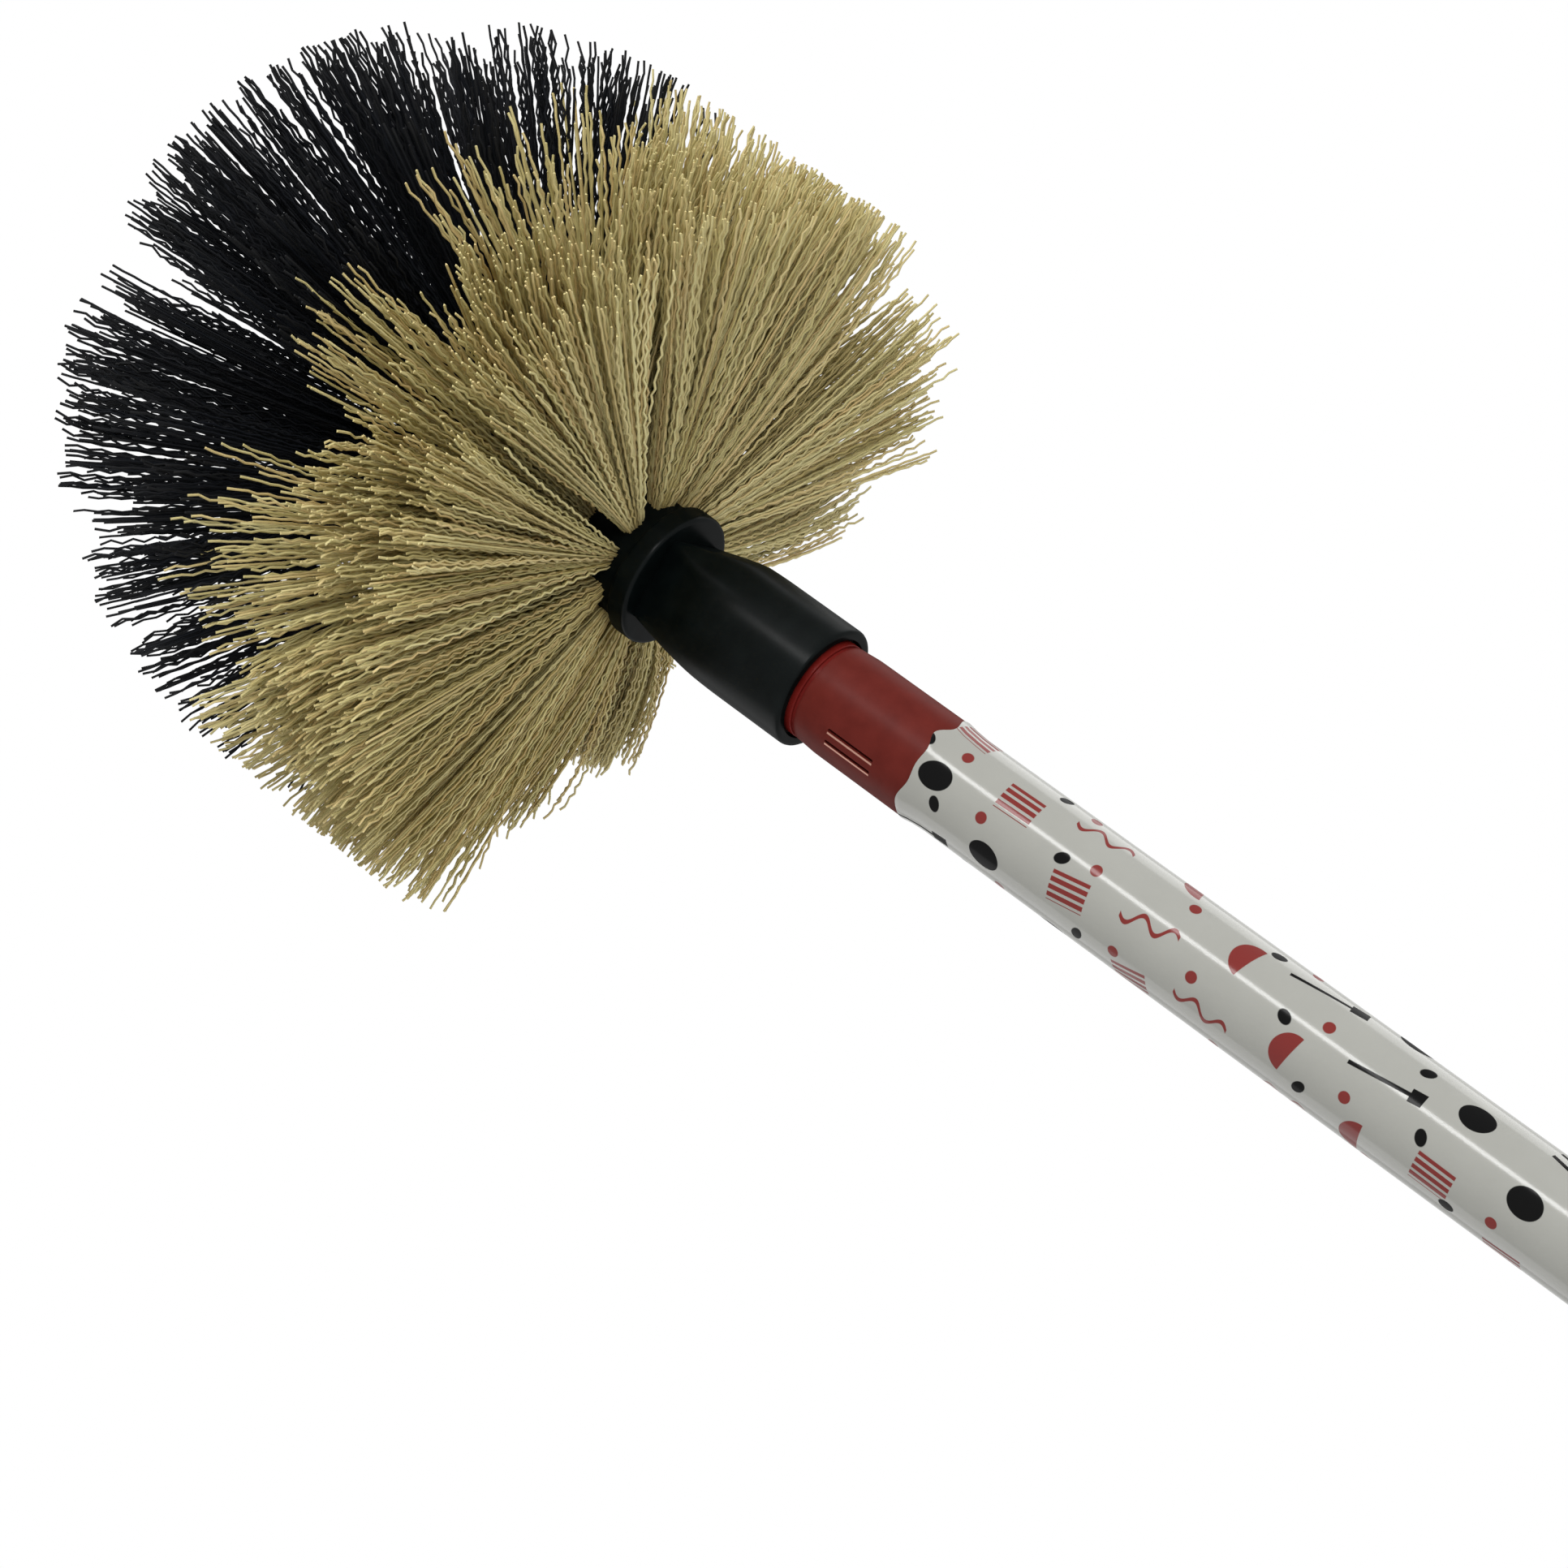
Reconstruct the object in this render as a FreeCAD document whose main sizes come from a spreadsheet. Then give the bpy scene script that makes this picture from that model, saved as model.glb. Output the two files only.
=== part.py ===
import FreeCAD
import Part
import Sketcher
import os

# Cobweb brush: a round head of cream and black bristle tufts set in a moulded block, screwed on
# the threaded tip of a film-covered steel handle that ends in a hanging cap.
# Millimetres and degrees. +Z runs up the handle towards the head, and the origin is the lowest
# point of the hanging cap, on the handle's axis.

# Driving dimensions: name, value, meaning
SIZES = [
    ("tongue_length", 20, "hanging tongue below the cap's head"),
    ("tongue_radius", 8, "half width and rounded end of the hanging tongue"),
    ("tongue_thickness", 8, "hanging tongue, front to back"),
    ("hang_hole_radius", 4, "hole through the hanging tongue"),
    ("cap_radius", 10.8, "head of the hanging cap"),
    ("cap_height", 6, "head of the hanging cap, along the handle"),
    ("cap_chamfer", 0.5, "bevelled lower edge of the cap's head"),
    ("cap_plug_length", 24, "cap's plug inside the tube"),
    ("tube_length", 1150, "steel tube, end to end"),
    ("tube_radius", 10.8, "outside of the steel tube"),
    ("tube_wall", 0.5, "wall of the steel tube"),
    ("plug_gap", 0.1, "radial clearance of the plugs in the tube"),
    ("film_gap", 0.05, "radial clearance under the printed film"),
    ("film_wall", 0.15, "printed film"),
    ("bare_end", 30, "tube left bare of film at its upper end"),
    ("lance_length", 12, "slit that locks the tip in the tube"),
    ("lance_width", 0.8, "slit, across"),
    ("lance_spacing", 2.4, "distance between the two slits"),
    ("lance_drop", 14.5, "middle of the slits below the tube's upper end"),
    ("lance_turn", -40, "slits round the axis from the -Y side"),
    ("tip_plug_length", 40, "tip's plug inside the tube"),
    ("groove_height", 0.9, "groove between the tube's end and the tip's ring"),
    ("groove_radius", 10.55, "bottom of that groove"),
    ("ring_height", 3, "ring that the head seats on"),
    ("ring_radius", 11.1, "outside of the ring"),
    ("spigot_radius", 10.4, "threaded spigot over the thread's crests"),
    ("spigot_length", 27, "spigot above the ring"),
    ("spigot_chamfer", 0.6, "lead-in at the spigot's end"),
    ("thread_gap", 0.4, "radial clearance of the spigot in the socket"),
    ("thread_end_gap", 2, "clearance past the spigot's end"),
    ("mouth_gap", 0.5, "radial clearance round the ring"),
    ("mouth_depth", 2, "recess of the socket's mouth that takes the ring"),
    ("socket_radius", 13.9, "outside of the socket"),
    ("lip_chamfer", 0.8, "bevelled lip of the socket's mouth"),
    ("socket_length", 42, "socket from its mouth to the flange"),
    ("neck_length", 18, "tapered neck of the socket under the flange"),
    ("neck_radius", 12.5, "outside of the neck under the flange"),
    ("flat_distance", 9, "the neck's four flats from the axis, under the flange"),
    ("flat_fade", 16, "length over which the flats run out"),
    ("flat_turn", -14.4, "flats round the axis"),
    ("flange_radius", 15.3, "flange between socket and hub"),
    ("flange_thickness", 5, "flange, along the axis"),
    ("flange_chamfer", 0.8, "bevelled edges of the flange"),
    ("hub_radius", 13.6, "hub that carries the tufts"),
    ("hub_length", 42.5, "hub above the flange"),
    ("hub_chamfer", 4.4, "sloped edge at the hub's end, for a row of tufts"),
    ("hole_radius", 2, "drilled tuft hole"),
    ("hole_depth", 4.5, "drilled tuft hole, along its axis"),
    ("hole_runout", 3, "drill's path outside the hub's surface"),
    ("tuft_clearance", 0.1, "tuft to the wall and floor of its hole"),
    ("tuft_proud", 1.3, "straight part of a tuft outside its hole"),
    ("tuft_overrun", 12, "tuft's flare carried past the trimmed outline"),
    ("tuft_gap", 1, "tuft to the border with the next one"),
    ("tuft_corner", 0.6, "cut corner of a flared tuft as a share of its half height"),
    ("anchor_thickness", 0.4, "flat anchor that holds a folded tuft"),
    ("anchor_width", 1.6, "anchor, along the hole"),
    ("anchor_bite", 0.3, "anchor's bite in the wall of the hole, at each end"),
    ("anchor_floor", 0.9, "anchor above the floor of the hole"),
    ("anchor_gap", 0.05, "anchor to the tuft folded round it"),
    ("first_row", 4.8, "first row of tuft holes above the flange"),
    ("row_pitch", 10, "distance between the rows on the hub's side"),
    ("crown_ring", 6.6, "radius of the ring of holes on the hub's flat end"),
    ("head_radius", 85, "trimmed outline of the bristles"),
    ("side_height", 62, "straight side of the trimmed outline"),
    ("rim_drop", 4.5, "lower rim of the bristles below the flange's top"),
    ("crown_sides", 24, "flats that stand for the round outline"),
    ("cream_rows", 3, "rows of cream tufts"),
    ("cream_count", 10, "cream tufts in a row"),
    ("black_count_low", 10, "black tufts in the lowest row of the dome"),
    ("black_count_mid", 8, "black tufts in the middle row"),
    ("black_count_high", 4, "black tufts in the row below the top tuft"),
]

doc = FreeCAD.newDocument("cobweb_brush")
sheet = doc.addObject("Spreadsheet::Sheet", "Sizes")
for row, (alias, value, meaning) in enumerate(SIZES, start=1):
    sheet.set(f"A{row}", alias)
    sheet.set(f"B{row}", str(value))
    sheet.set(f"C{row}", meaning)
    sheet.setAlias(f"B{row}", alias)
doc.recompute()

# Levels along the axis, as expressions on the sheet
TUBE_BOTTOM = "(Sizes.tongue_length + Sizes.cap_height)"
TUBE_TOP = f"({TUBE_BOTTOM} + Sizes.tube_length)"
FILM_TOP = f"({TUBE_TOP} - Sizes.bare_end)"
RING_BOTTOM = f"({TUBE_TOP} + Sizes.groove_height)"
SEAT = f"({RING_BOTTOM} + Sizes.ring_height)"
SPIGOT_TOP = f"({SEAT} + Sizes.spigot_length)"
BORE_TOP = f"({SPIGOT_TOP} + Sizes.thread_end_gap)"
MOUTH = f"({SEAT} - Sizes.mouth_depth)"
FLANGE_UNDER = f"({MOUTH} + Sizes.socket_length)"
FLANGE_TOP = f"({FLANGE_UNDER} + Sizes.flange_thickness)"
HUB_TOP = f"({FLANGE_TOP} + Sizes.hub_length)"
RIM = f"({FLANGE_TOP} - Sizes.rim_drop)"
EQUATOR = f"({RIM} + Sizes.side_height)"

# Radii that fit one piece to another
TUBE_BORE = "(Sizes.tube_radius - Sizes.tube_wall)"
PLUG_RADIUS = f"({TUBE_BORE} - Sizes.plug_gap)"
FILM_BORE = "(Sizes.tube_radius + Sizes.film_gap)"
SOCKET_BORE = "(Sizes.spigot_radius + Sizes.thread_gap)"
MOUTH_BORE = "(Sizes.ring_radius + Sizes.mouth_gap)"
TUFT_ROOT = "(Sizes.hole_radius - Sizes.tuft_clearance)"

Z_AXIS = FreeCAD.Vector(0, 0, 1)
ORIGIN = FreeCAD.Vector(0, 0, 0)
ROOT_SIDES = 8
FLATS_SQUARE = f"rotationz({180 / ROOT_SIDES})"


def value_of(expression):
    """The number that an expression on the sheet gives now."""
    return float(sheet.evalExpression(expression))


def bind(thing, **expressions):
    """Bind properties of an object to expressions."""
    for name, expression in expressions.items():
        thing.setExpression(name, expression)


def placement(turn, x="0", y="0", z="0"):
    """The expression of a placement: a rotation and where the origin goes."""
    return f"placement(vector({x}; {y}; {z}); {turn})"


def new_body(label):
    """An empty body for one piece."""
    body = doc.addObject("PartDesign::Body", label)
    body.Label = label
    return body


def datum(body, role):
    """A plane or axis of the body's own origin."""
    return next(item for item in body.Origin.OriginFeatures if item.Role == role)


def new_sketch(body, name, plane, turn=None):
    """A sketch on one of the body's planes, turned about the sketch's upright axis."""
    sketch = body.newObject("Sketcher::SketchObject", name)
    sketch.AttachmentSupport = (datum(body, plane), [""])
    sketch.MapMode = "FlatFace"
    if turn:
        bind(sketch, AttachmentOffset=placement(f"rotationy({turn})"))
    return sketch


def arc_between(start, end, radius):
    """The counter-clockwise arc of at most half a circle between two points."""
    chord = end - start
    rise = max(radius * radius - chord.Length * chord.Length / 4, 0) ** 0.5
    left = FreeCAD.Vector(-chord.y, chord.x, 0).normalize()
    circle = Part.Circle((start + end) / 2 + left * rise, Z_AXIS, radius)
    return Part.ArcOfCircle(circle, circle.parameter(start), circle.parameter(end))


def draw_outline(sketch, corners):
    """Draw a closed outline, counter-clockwise, with every corner bound to the sheet.

    A corner is (x, y) or (x, y, radius), where the radius is that of an arc to the next corner.
    """
    first = sketch.GeometryCount
    count = len(corners)
    points = [FreeCAD.Vector(value_of(corner[0]), value_of(corner[1]), 0) for corner in corners]
    for index, corner in enumerate(corners):
        start, end = points[index], points[(index + 1) % count]
        if len(corner) == 3:
            sketch.addGeometry(arc_between(start, end, value_of(corner[2])), False)
        else:
            sketch.addGeometry(Part.LineSegment(start, end), False)
    for index in range(count):
        joined = Sketcher.Constraint("Coincident", first + index, 2, first + (index + 1) % count, 1)
        sketch.addConstraint(joined)
    for index, corner in enumerate(corners):
        side = first + index
        across = Sketcher.Constraint("DistanceX", -1, 1, side, 1, points[index].x)
        sketch.setExpression(f"Constraints[{sketch.addConstraint(across)}]", corner[0])
        up = Sketcher.Constraint("DistanceY", -1, 1, side, 1, points[index].y)
        sketch.setExpression(f"Constraints[{sketch.addConstraint(up)}]", corner[1])
        if len(corner) == 3:
            bend = Sketcher.Constraint("Radius", side, value_of(corner[2]))
            sketch.setExpression(f"Constraints[{sketch.addConstraint(bend)}]", corner[2])


def turn_profile(body, name, corners):
    """Revolve an outline of (radius, height) corners about the body's Z axis."""
    sketch = new_sketch(body, name + "_profile", "XZ_Plane")
    draw_outline(sketch, corners)
    revolution = body.newObject("PartDesign::Revolution", name)
    revolution.Profile = sketch
    revolution.ReferenceAxis = (sketch, ["V_Axis"])
    revolution.Angle = 360
    return revolution


def ring_pattern(body, name, features, count):
    """Repeat features evenly round the body's Z axis."""
    pattern = body.newObject("PartDesign::PolarPattern", name)
    pattern.Originals = features
    pattern.Axis = (datum(body, "Z_Axis"), [""])
    pattern.Angle = 360
    bind(pattern, Occurrences=count)
    body.Tip = pattern
    return pattern


class TuftRow:
    """One row of equal tufts round the hub: where they stand and how far they flare.

    Root and tip are points in the XZ plane: the middle of the hole's mouth on the hub and the
    middle of the tuft's end on the trimmed outline. Tip_latitude is the outline's slope there.
    """

    def __init__(self, label, count, turn, root, tip, tip_latitude, half_width, half_height):
        self.label = label
        self.count = count
        self.turn = turn
        self.root = root
        self.tip_latitude = tip_latitude
        rise = f"({tip[1]} - {root[1]})"
        run = f"({tip[0]} - {root[0]})"
        self.tilt = f"atan2({rise}; {run})"
        self.reach = f"sqrt({rise}^2 + {run}^2)"
        self.half_width = half_width
        self.half_height = half_height

    def on_axis(self, distance="0", spin="rotationz(0)", aside="0", down="0"):
        """The placement that turns Z onto the tuft's axis, with the origin a distance along it."""
        x = f"{self.root[0]} + ({distance}) * cos({self.tilt}) + ({down}) * sin({self.tilt})"
        z = f"{self.root[1]} + ({distance}) * sin({self.tilt}) - ({down}) * cos({self.tilt})"
        return placement(f"rotationy(90 deg - {self.tilt}) * {spin}", x, aside, z)

    def azimuth(self, number=0):
        """The placement that turns the row's master about the Z axis to one of its places."""
        return placement(f"rotationz({self.turn} + {number} * 360 / {self.count})")

    def half_at_end(self, half):
        """A half size at the outline, carried on to the end of the overrun."""
        straight = "Sizes.tuft_proud"
        share = f"(({self.reach} + Sizes.tuft_overrun - {straight}) / ({self.reach} - {straight}))"
        return f"({ROOT_FLAT} + ({half} - {ROOT_FLAT}) * {share})"


ROOT_FLAT = f"({TUFT_ROOT} * cos({180 / ROOT_SIDES}))"


def side_root(row):
    """Where a row of tufts leaves the hub's side, counted up from the flange."""
    return "Sizes.hub_radius", f"({FLANGE_TOP} + Sizes.first_row + {row} * Sizes.row_pitch)"


def cream_row(row):
    """A row of cream tufts, which fills its share of the straight side."""
    root = side_root(row)
    tip = ("Sizes.head_radius", f"({RIM} + Sizes.side_height * ({row} + 0.5) / Sizes.cream_rows)")
    tilt = f"atan2({tip[1]} - {root[1]}; {tip[0]} - {root[0]})"
    return TuftRow(
        label=f"cream_tuft_{row + 1}",
        count="Sizes.cream_count",
        turn=f"({row % 2} * 180 / Sizes.cream_count)",
        root=root,
        tip=tip,
        tip_latitude="0 deg",
        half_width="(Sizes.head_radius * sin(180 / Sizes.cream_count) - Sizes.tuft_gap)",
        half_height=f"(Sizes.side_height / Sizes.cream_rows / 2 * cos({tilt}) - Sizes.tuft_gap)",
    )


# Black rows stand on the hub's side, on its sloped edge and on its flat end
BLACK_ROOTS = [
    side_root("Sizes.cream_rows"),
    ("(Sizes.hub_radius - Sizes.hub_chamfer / 2)", f"({HUB_TOP} - Sizes.hub_chamfer / 2)"),
    ("Sizes.crown_ring", HUB_TOP),
]
BLACK_COUNTS = ["Sizes.black_count_low", "Sizes.black_count_mid", "Sizes.black_count_high"]
BLACK_TURNS = ["(180 / Sizes.black_count_low)", "0", "(180 / Sizes.black_count_mid)"]
# The dome is shared out as bands of equal height with half a band for the top tuft
BAND = f"(90 deg / ({len(BLACK_COUNTS)} + 0.5))"


def black_row(row):
    """A row of black tufts, which fills one band of the dome."""
    root = BLACK_ROOTS[row]
    count = BLACK_COUNTS[row]
    latitude = f"({BAND} * ({row} + 0.5))"
    tip_radius = f"(Sizes.head_radius * cos({latitude}))"
    tip = (tip_radius, f"({EQUATOR} + Sizes.head_radius * sin({latitude}))")
    tilt = f"atan2({tip[1]} - {root[1]}; {tip[0]} - {root[0]})"
    half_band = f"(Sizes.head_radius * sin({BAND} / 2))"
    return TuftRow(
        label=f"black_tuft_{row + 1}",
        count=count,
        turn=BLACK_TURNS[row],
        root=root,
        tip=tip,
        tip_latitude=latitude,
        half_width=f"({tip_radius} * sin(180 / {count}) - Sizes.tuft_gap)",
        half_height=f"({half_band} * cos({tilt} - {latitude}) - Sizes.tuft_gap)",
    )


def top_tuft():
    """The black tuft at the middle of the dome."""
    half = f"(Sizes.head_radius * sin({BAND} / 2) - Sizes.tuft_gap)"
    return TuftRow(
        label="black_tuft_top",
        count="1",
        turn="0",
        root=("0", HUB_TOP),
        tip=("0", f"({EQUATOR} + Sizes.head_radius)"),
        tip_latitude="90 deg",
        half_width=half,
        half_height=half,
    )


cream_rows = [cream_row(row) for row in range(int(sheet.cream_rows))]
black_rows = [black_row(row) for row in range(len(BLACK_COUNTS))]
tuft_rows = cream_rows + black_rows + [top_tuft()]


def make_hanging_cap():
    """Plug, head and flat tongue with a hole, moulded in one."""
    body = new_body("hanging_cap")
    plug_end = f"({TUBE_BOTTOM} + Sizes.cap_plug_length)"
    turn_profile(
        body,
        "plug_and_head",
        [
            ("0", "Sizes.tongue_length"),
            ("Sizes.cap_radius - Sizes.cap_chamfer", "Sizes.tongue_length"),
            ("Sizes.cap_radius", "Sizes.tongue_length + Sizes.cap_chamfer"),
            ("Sizes.cap_radius", TUBE_BOTTOM),
            (PLUG_RADIUS, TUBE_BOTTOM),
            (PLUG_RADIUS, plug_end),
            ("0", plug_end),
        ],
    )
    tongue_root = "Sizes.tongue_length + Sizes.cap_height / 2"
    outline = new_sketch(body, "tongue_outline", "XZ_Plane")
    draw_outline(
        outline,
        [
            ("-Sizes.tongue_radius", "Sizes.tongue_radius", "Sizes.tongue_radius"),
            ("0", "0", "Sizes.tongue_radius"),
            ("Sizes.tongue_radius", "Sizes.tongue_radius"),
            ("Sizes.tongue_radius", tongue_root),
            ("-Sizes.tongue_radius", tongue_root),
        ],
    )
    tongue = body.newObject("PartDesign::Pad", "tongue")
    tongue.Profile = outline
    tongue.Midplane = True
    bind(tongue, Length="Sizes.tongue_thickness")
    circle = new_sketch(body, "hang_hole_circle", "XZ_Plane")
    circle.addGeometry(Part.Circle(ORIGIN, Z_AXIS, value_of("Sizes.hang_hole_radius")), False)
    circle.addConstraint(Sketcher.Constraint("PointOnObject", 0, 3, -2))
    height = circle.addConstraint(Sketcher.Constraint("DistanceY", -1, 1, 0, 3, 1))
    circle.setExpression(f"Constraints[{height}]", "Sizes.tongue_radius")
    radius = circle.addConstraint(Sketcher.Constraint("Radius", 0, value_of("Sizes.hang_hole_radius")))
    circle.setExpression(f"Constraints[{radius}]", "Sizes.hang_hole_radius")
    hole = body.newObject("PartDesign::Pocket", "hang_hole")
    hole.Profile = circle
    hole.Midplane = True
    bind(hole, Length="2 * Sizes.tongue_thickness")
    return [body]


def make_handle_tube():
    """Steel tube with two parallel slits that lock the tip's plug."""
    body = new_body("handle_tube")
    turn_profile(
        body,
        "tube",
        [
            (TUBE_BORE, TUBE_BOTTOM),
            ("Sizes.tube_radius", TUBE_BOTTOM),
            ("Sizes.tube_radius", TUBE_TOP),
            (TUBE_BORE, TUBE_TOP),
        ],
    )
    slits = new_sketch(body, "slits", "XZ_Plane", turn="Sizes.lance_turn")
    middle = f"({TUBE_TOP} - Sizes.lance_drop)"
    for side in (-1, 1):
        left = f"({side} * Sizes.lance_spacing / 2 - Sizes.lance_width / 2)"
        right = f"({side} * Sizes.lance_spacing / 2 + Sizes.lance_width / 2)"
        low = f"({middle} - Sizes.lance_length / 2)"
        high = f"({middle} + Sizes.lance_length / 2)"
        draw_outline(slits, [(left, low), (right, low), (right, high), (left, high)])
    lance = body.newObject("PartDesign::Pocket", "lance_slits")
    lance.Profile = slits
    lance.Reversed = True
    bind(lance, Length="2 * Sizes.tube_radius")
    return [body]


def make_print_sleeve():
    """Printed film drawn over the tube, short of its upper end."""
    body = new_body("print_sleeve")
    outside = f"({FILM_BORE} + Sizes.film_wall)"
    turn_profile(
        body,
        "film",
        [(FILM_BORE, TUBE_BOTTOM), (outside, TUBE_BOTTOM), (outside, FILM_TOP), (FILM_BORE, FILM_TOP)],
    )
    return [body]


def make_threaded_tip():
    """Plug in the tube, ring on the tube's end and the spigot that the head screws on."""
    body = new_body("threaded_tip")
    plug_end = f"({TUBE_TOP} - Sizes.tip_plug_length)"
    lead_in = "(Sizes.spigot_radius - Sizes.spigot_chamfer)"
    turn_profile(
        body,
        "tip",
        [
            ("0", plug_end),
            (PLUG_RADIUS, plug_end),
            (PLUG_RADIUS, TUBE_TOP),
            ("Sizes.groove_radius", TUBE_TOP),
            ("Sizes.groove_radius", RING_BOTTOM),
            ("Sizes.ring_radius", RING_BOTTOM),
            ("Sizes.ring_radius", SEAT),
            ("Sizes.spigot_radius", SEAT),
            ("Sizes.spigot_radius", f"{SPIGOT_TOP} - Sizes.spigot_chamfer"),
            (lead_in, SPIGOT_TOP),
            ("0", SPIGOT_TOP),
        ],
    )
    return [body]


def cut_neck_flats(body):
    """Four flats that make the neck square under the flange and run out down the socket."""
    slope = "(Sizes.socket_radius - Sizes.neck_radius) / Sizes.neck_length"
    runout = (f"(Sizes.neck_radius + {slope} * Sizes.flat_fade)", f"({FLANGE_UNDER} - Sizes.flat_fade)")
    sketch = new_sketch(body, "flat_wedge", "XZ_Plane", turn="Sizes.flat_turn")
    draw_outline(
        sketch,
        [("Sizes.flat_distance", FLANGE_UNDER), runout, ("2 * Sizes.neck_radius", FLANGE_UNDER)],
    )
    flat = body.newObject("PartDesign::Pocket", "flat")
    flat.Profile = sketch
    flat.Midplane = True
    bind(flat, Length="4 * Sizes.neck_radius")
    ring_pattern(body, "flats", [flat], "4")


def drill_row(body, row):
    """The holes of one row of tufts."""
    hole = body.newObject("PartDesign::SubtractivePrism", row.label + "_hole")
    hole.AttachmentSupport = (datum(body, "XY_Plane"), [""])
    hole.MapMode = "FlatFace"
    hole.Polygon = ROOT_SIDES
    bind(hole, Circumradius="Sizes.hole_radius", Height="Sizes.hole_depth + Sizes.hole_runout")
    on_axis = row.on_axis("-Sizes.hole_depth", FLATS_SQUARE)
    bind(hole, AttachmentOffset=f"{row.azimuth()} * {on_axis}")
    body.Tip = hole
    if value_of(row.count) > 1:
        ring_pattern(body, row.label + "_holes", [hole], row.count)


HOLE_FLAT = f"(Sizes.hole_radius * cos({180 / ROOT_SIDES}))"
ANCHOR_LENGTH = f"(2 * {HOLE_FLAT} + 2 * Sizes.anchor_bite)"


def make_brush_block():
    """Socket, flange and drilled hub, moulded in one."""
    body = new_body("brush_block")
    rim = "Sizes.flange_radius - Sizes.flange_chamfer"
    turn_profile(
        body,
        "socket_and_hub",
        [
            (MOUTH_BORE, MOUTH),
            ("Sizes.socket_radius - Sizes.lip_chamfer", MOUTH),
            ("Sizes.socket_radius", f"{MOUTH} + Sizes.lip_chamfer"),
            ("Sizes.socket_radius", f"{FLANGE_UNDER} - Sizes.neck_length"),
            ("Sizes.neck_radius", FLANGE_UNDER),
            (rim, FLANGE_UNDER),
            ("Sizes.flange_radius", f"{FLANGE_UNDER} + Sizes.flange_chamfer"),
            ("Sizes.flange_radius", f"{FLANGE_TOP} - Sizes.flange_chamfer"),
            (rim, FLANGE_TOP),
            ("Sizes.hub_radius", FLANGE_TOP),
            ("Sizes.hub_radius", f"{HUB_TOP} - Sizes.hub_chamfer"),
            ("Sizes.hub_radius - Sizes.hub_chamfer", HUB_TOP),
            ("0", HUB_TOP),
            ("0", BORE_TOP),
            (SOCKET_BORE, BORE_TOP),
            (SOCKET_BORE, SEAT),
            (MOUTH_BORE, SEAT),
        ],
    )
    cut_neck_flats(body)
    for row in tuft_rows:
        drill_row(body, row)
    return [body]


def make_tuft_anchors():
    """The flat anchors, one across each tuft's fold."""
    plates = []
    for row in tuft_rows:
        plate = doc.addObject("Part::Box", row.label + "_anchor")
        bind(plate, Length="Sizes.anchor_thickness", Width=ANCHOR_LENGTH, Height="Sizes.anchor_width")
        seat = row.on_axis(
            "Sizes.anchor_floor - Sizes.hole_depth",
            aside=f"-{ANCHOR_LENGTH} / 2",
            down="-Sizes.anchor_thickness / 2",
        )
        bind(plate, Placement=seat)
        plates += copies_round_axis(plate, row, row.label + "_anchor")
    group = doc.addObject("Part::Compound", "tuft_anchors")
    group.Label = "tuft_anchors"
    group.Links = plates
    return [group]


def copies_round_axis(master, row, label):
    """The row's copies of one master, each turned about the Z axis."""
    copies = []
    count = int(value_of(row.count))
    for number in range(count):
        name = label if count == 1 else f"{label}_{number + 1:02d}"
        copy = doc.addObject("Part::Compound", name)
        copy.Label = name
        copy.Links = [master]
        bind(copy, Placement=row.azimuth(number))
        copies.append(copy)
    return copies


def flared_wedge(row, name, half_x, half_y, turn):
    """A four-sided flare along Z from the straight part to the end of the overrun."""
    wedge = doc.addObject("Part::Wedge", name)
    end_x = row.half_at_end(half_x)
    end_y = row.half_at_end(half_y)
    bind(
        wedge,
        Ymin="Sizes.tuft_proud",
        Ymax=f"{row.reach} + Sizes.tuft_overrun",
        Xmin=f"-{ROOT_FLAT}",
        Xmax=ROOT_FLAT,
        Zmin=f"-{ROOT_FLAT}",
        Zmax=ROOT_FLAT,
        X2min=f"-{end_x}",
        X2max=end_x,
        Z2min=f"-{end_y}",
        Z2max=end_y,
    )
    bind(wedge, Placement=placement(f"rotationz({turn}) * rotationx(90)"))
    return wedge


def outline_drum(name, latitude):
    """A many-sided drum of the outline's radius, its axis along the meridian at a latitude."""
    drum = doc.addObject("Part::Prism", name)
    bind(drum, Polygon="Sizes.crown_sides", Circumradius="Sizes.head_radius", Height="2 * Sizes.head_radius")
    low_x = f"Sizes.head_radius * sin({latitude})"
    low_z = f"{EQUATOR} - Sizes.head_radius * cos({latitude})"
    bind(drum, Placement=placement(f"rotationy(-{latitude})", x=low_x, z=low_z))
    return drum


def make_dome_drum():
    """A many-sided drum across the dome, its axis along Y."""
    drum = doc.addObject("Part::Prism", "dome_drum")
    bind(drum, Polygon="Sizes.crown_sides", Circumradius="Sizes.head_radius", Height="2 * Sizes.head_radius")
    bind(drum, Placement=placement("rotationx(90)", y="Sizes.head_radius", z=EQUATOR))
    return drum


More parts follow.
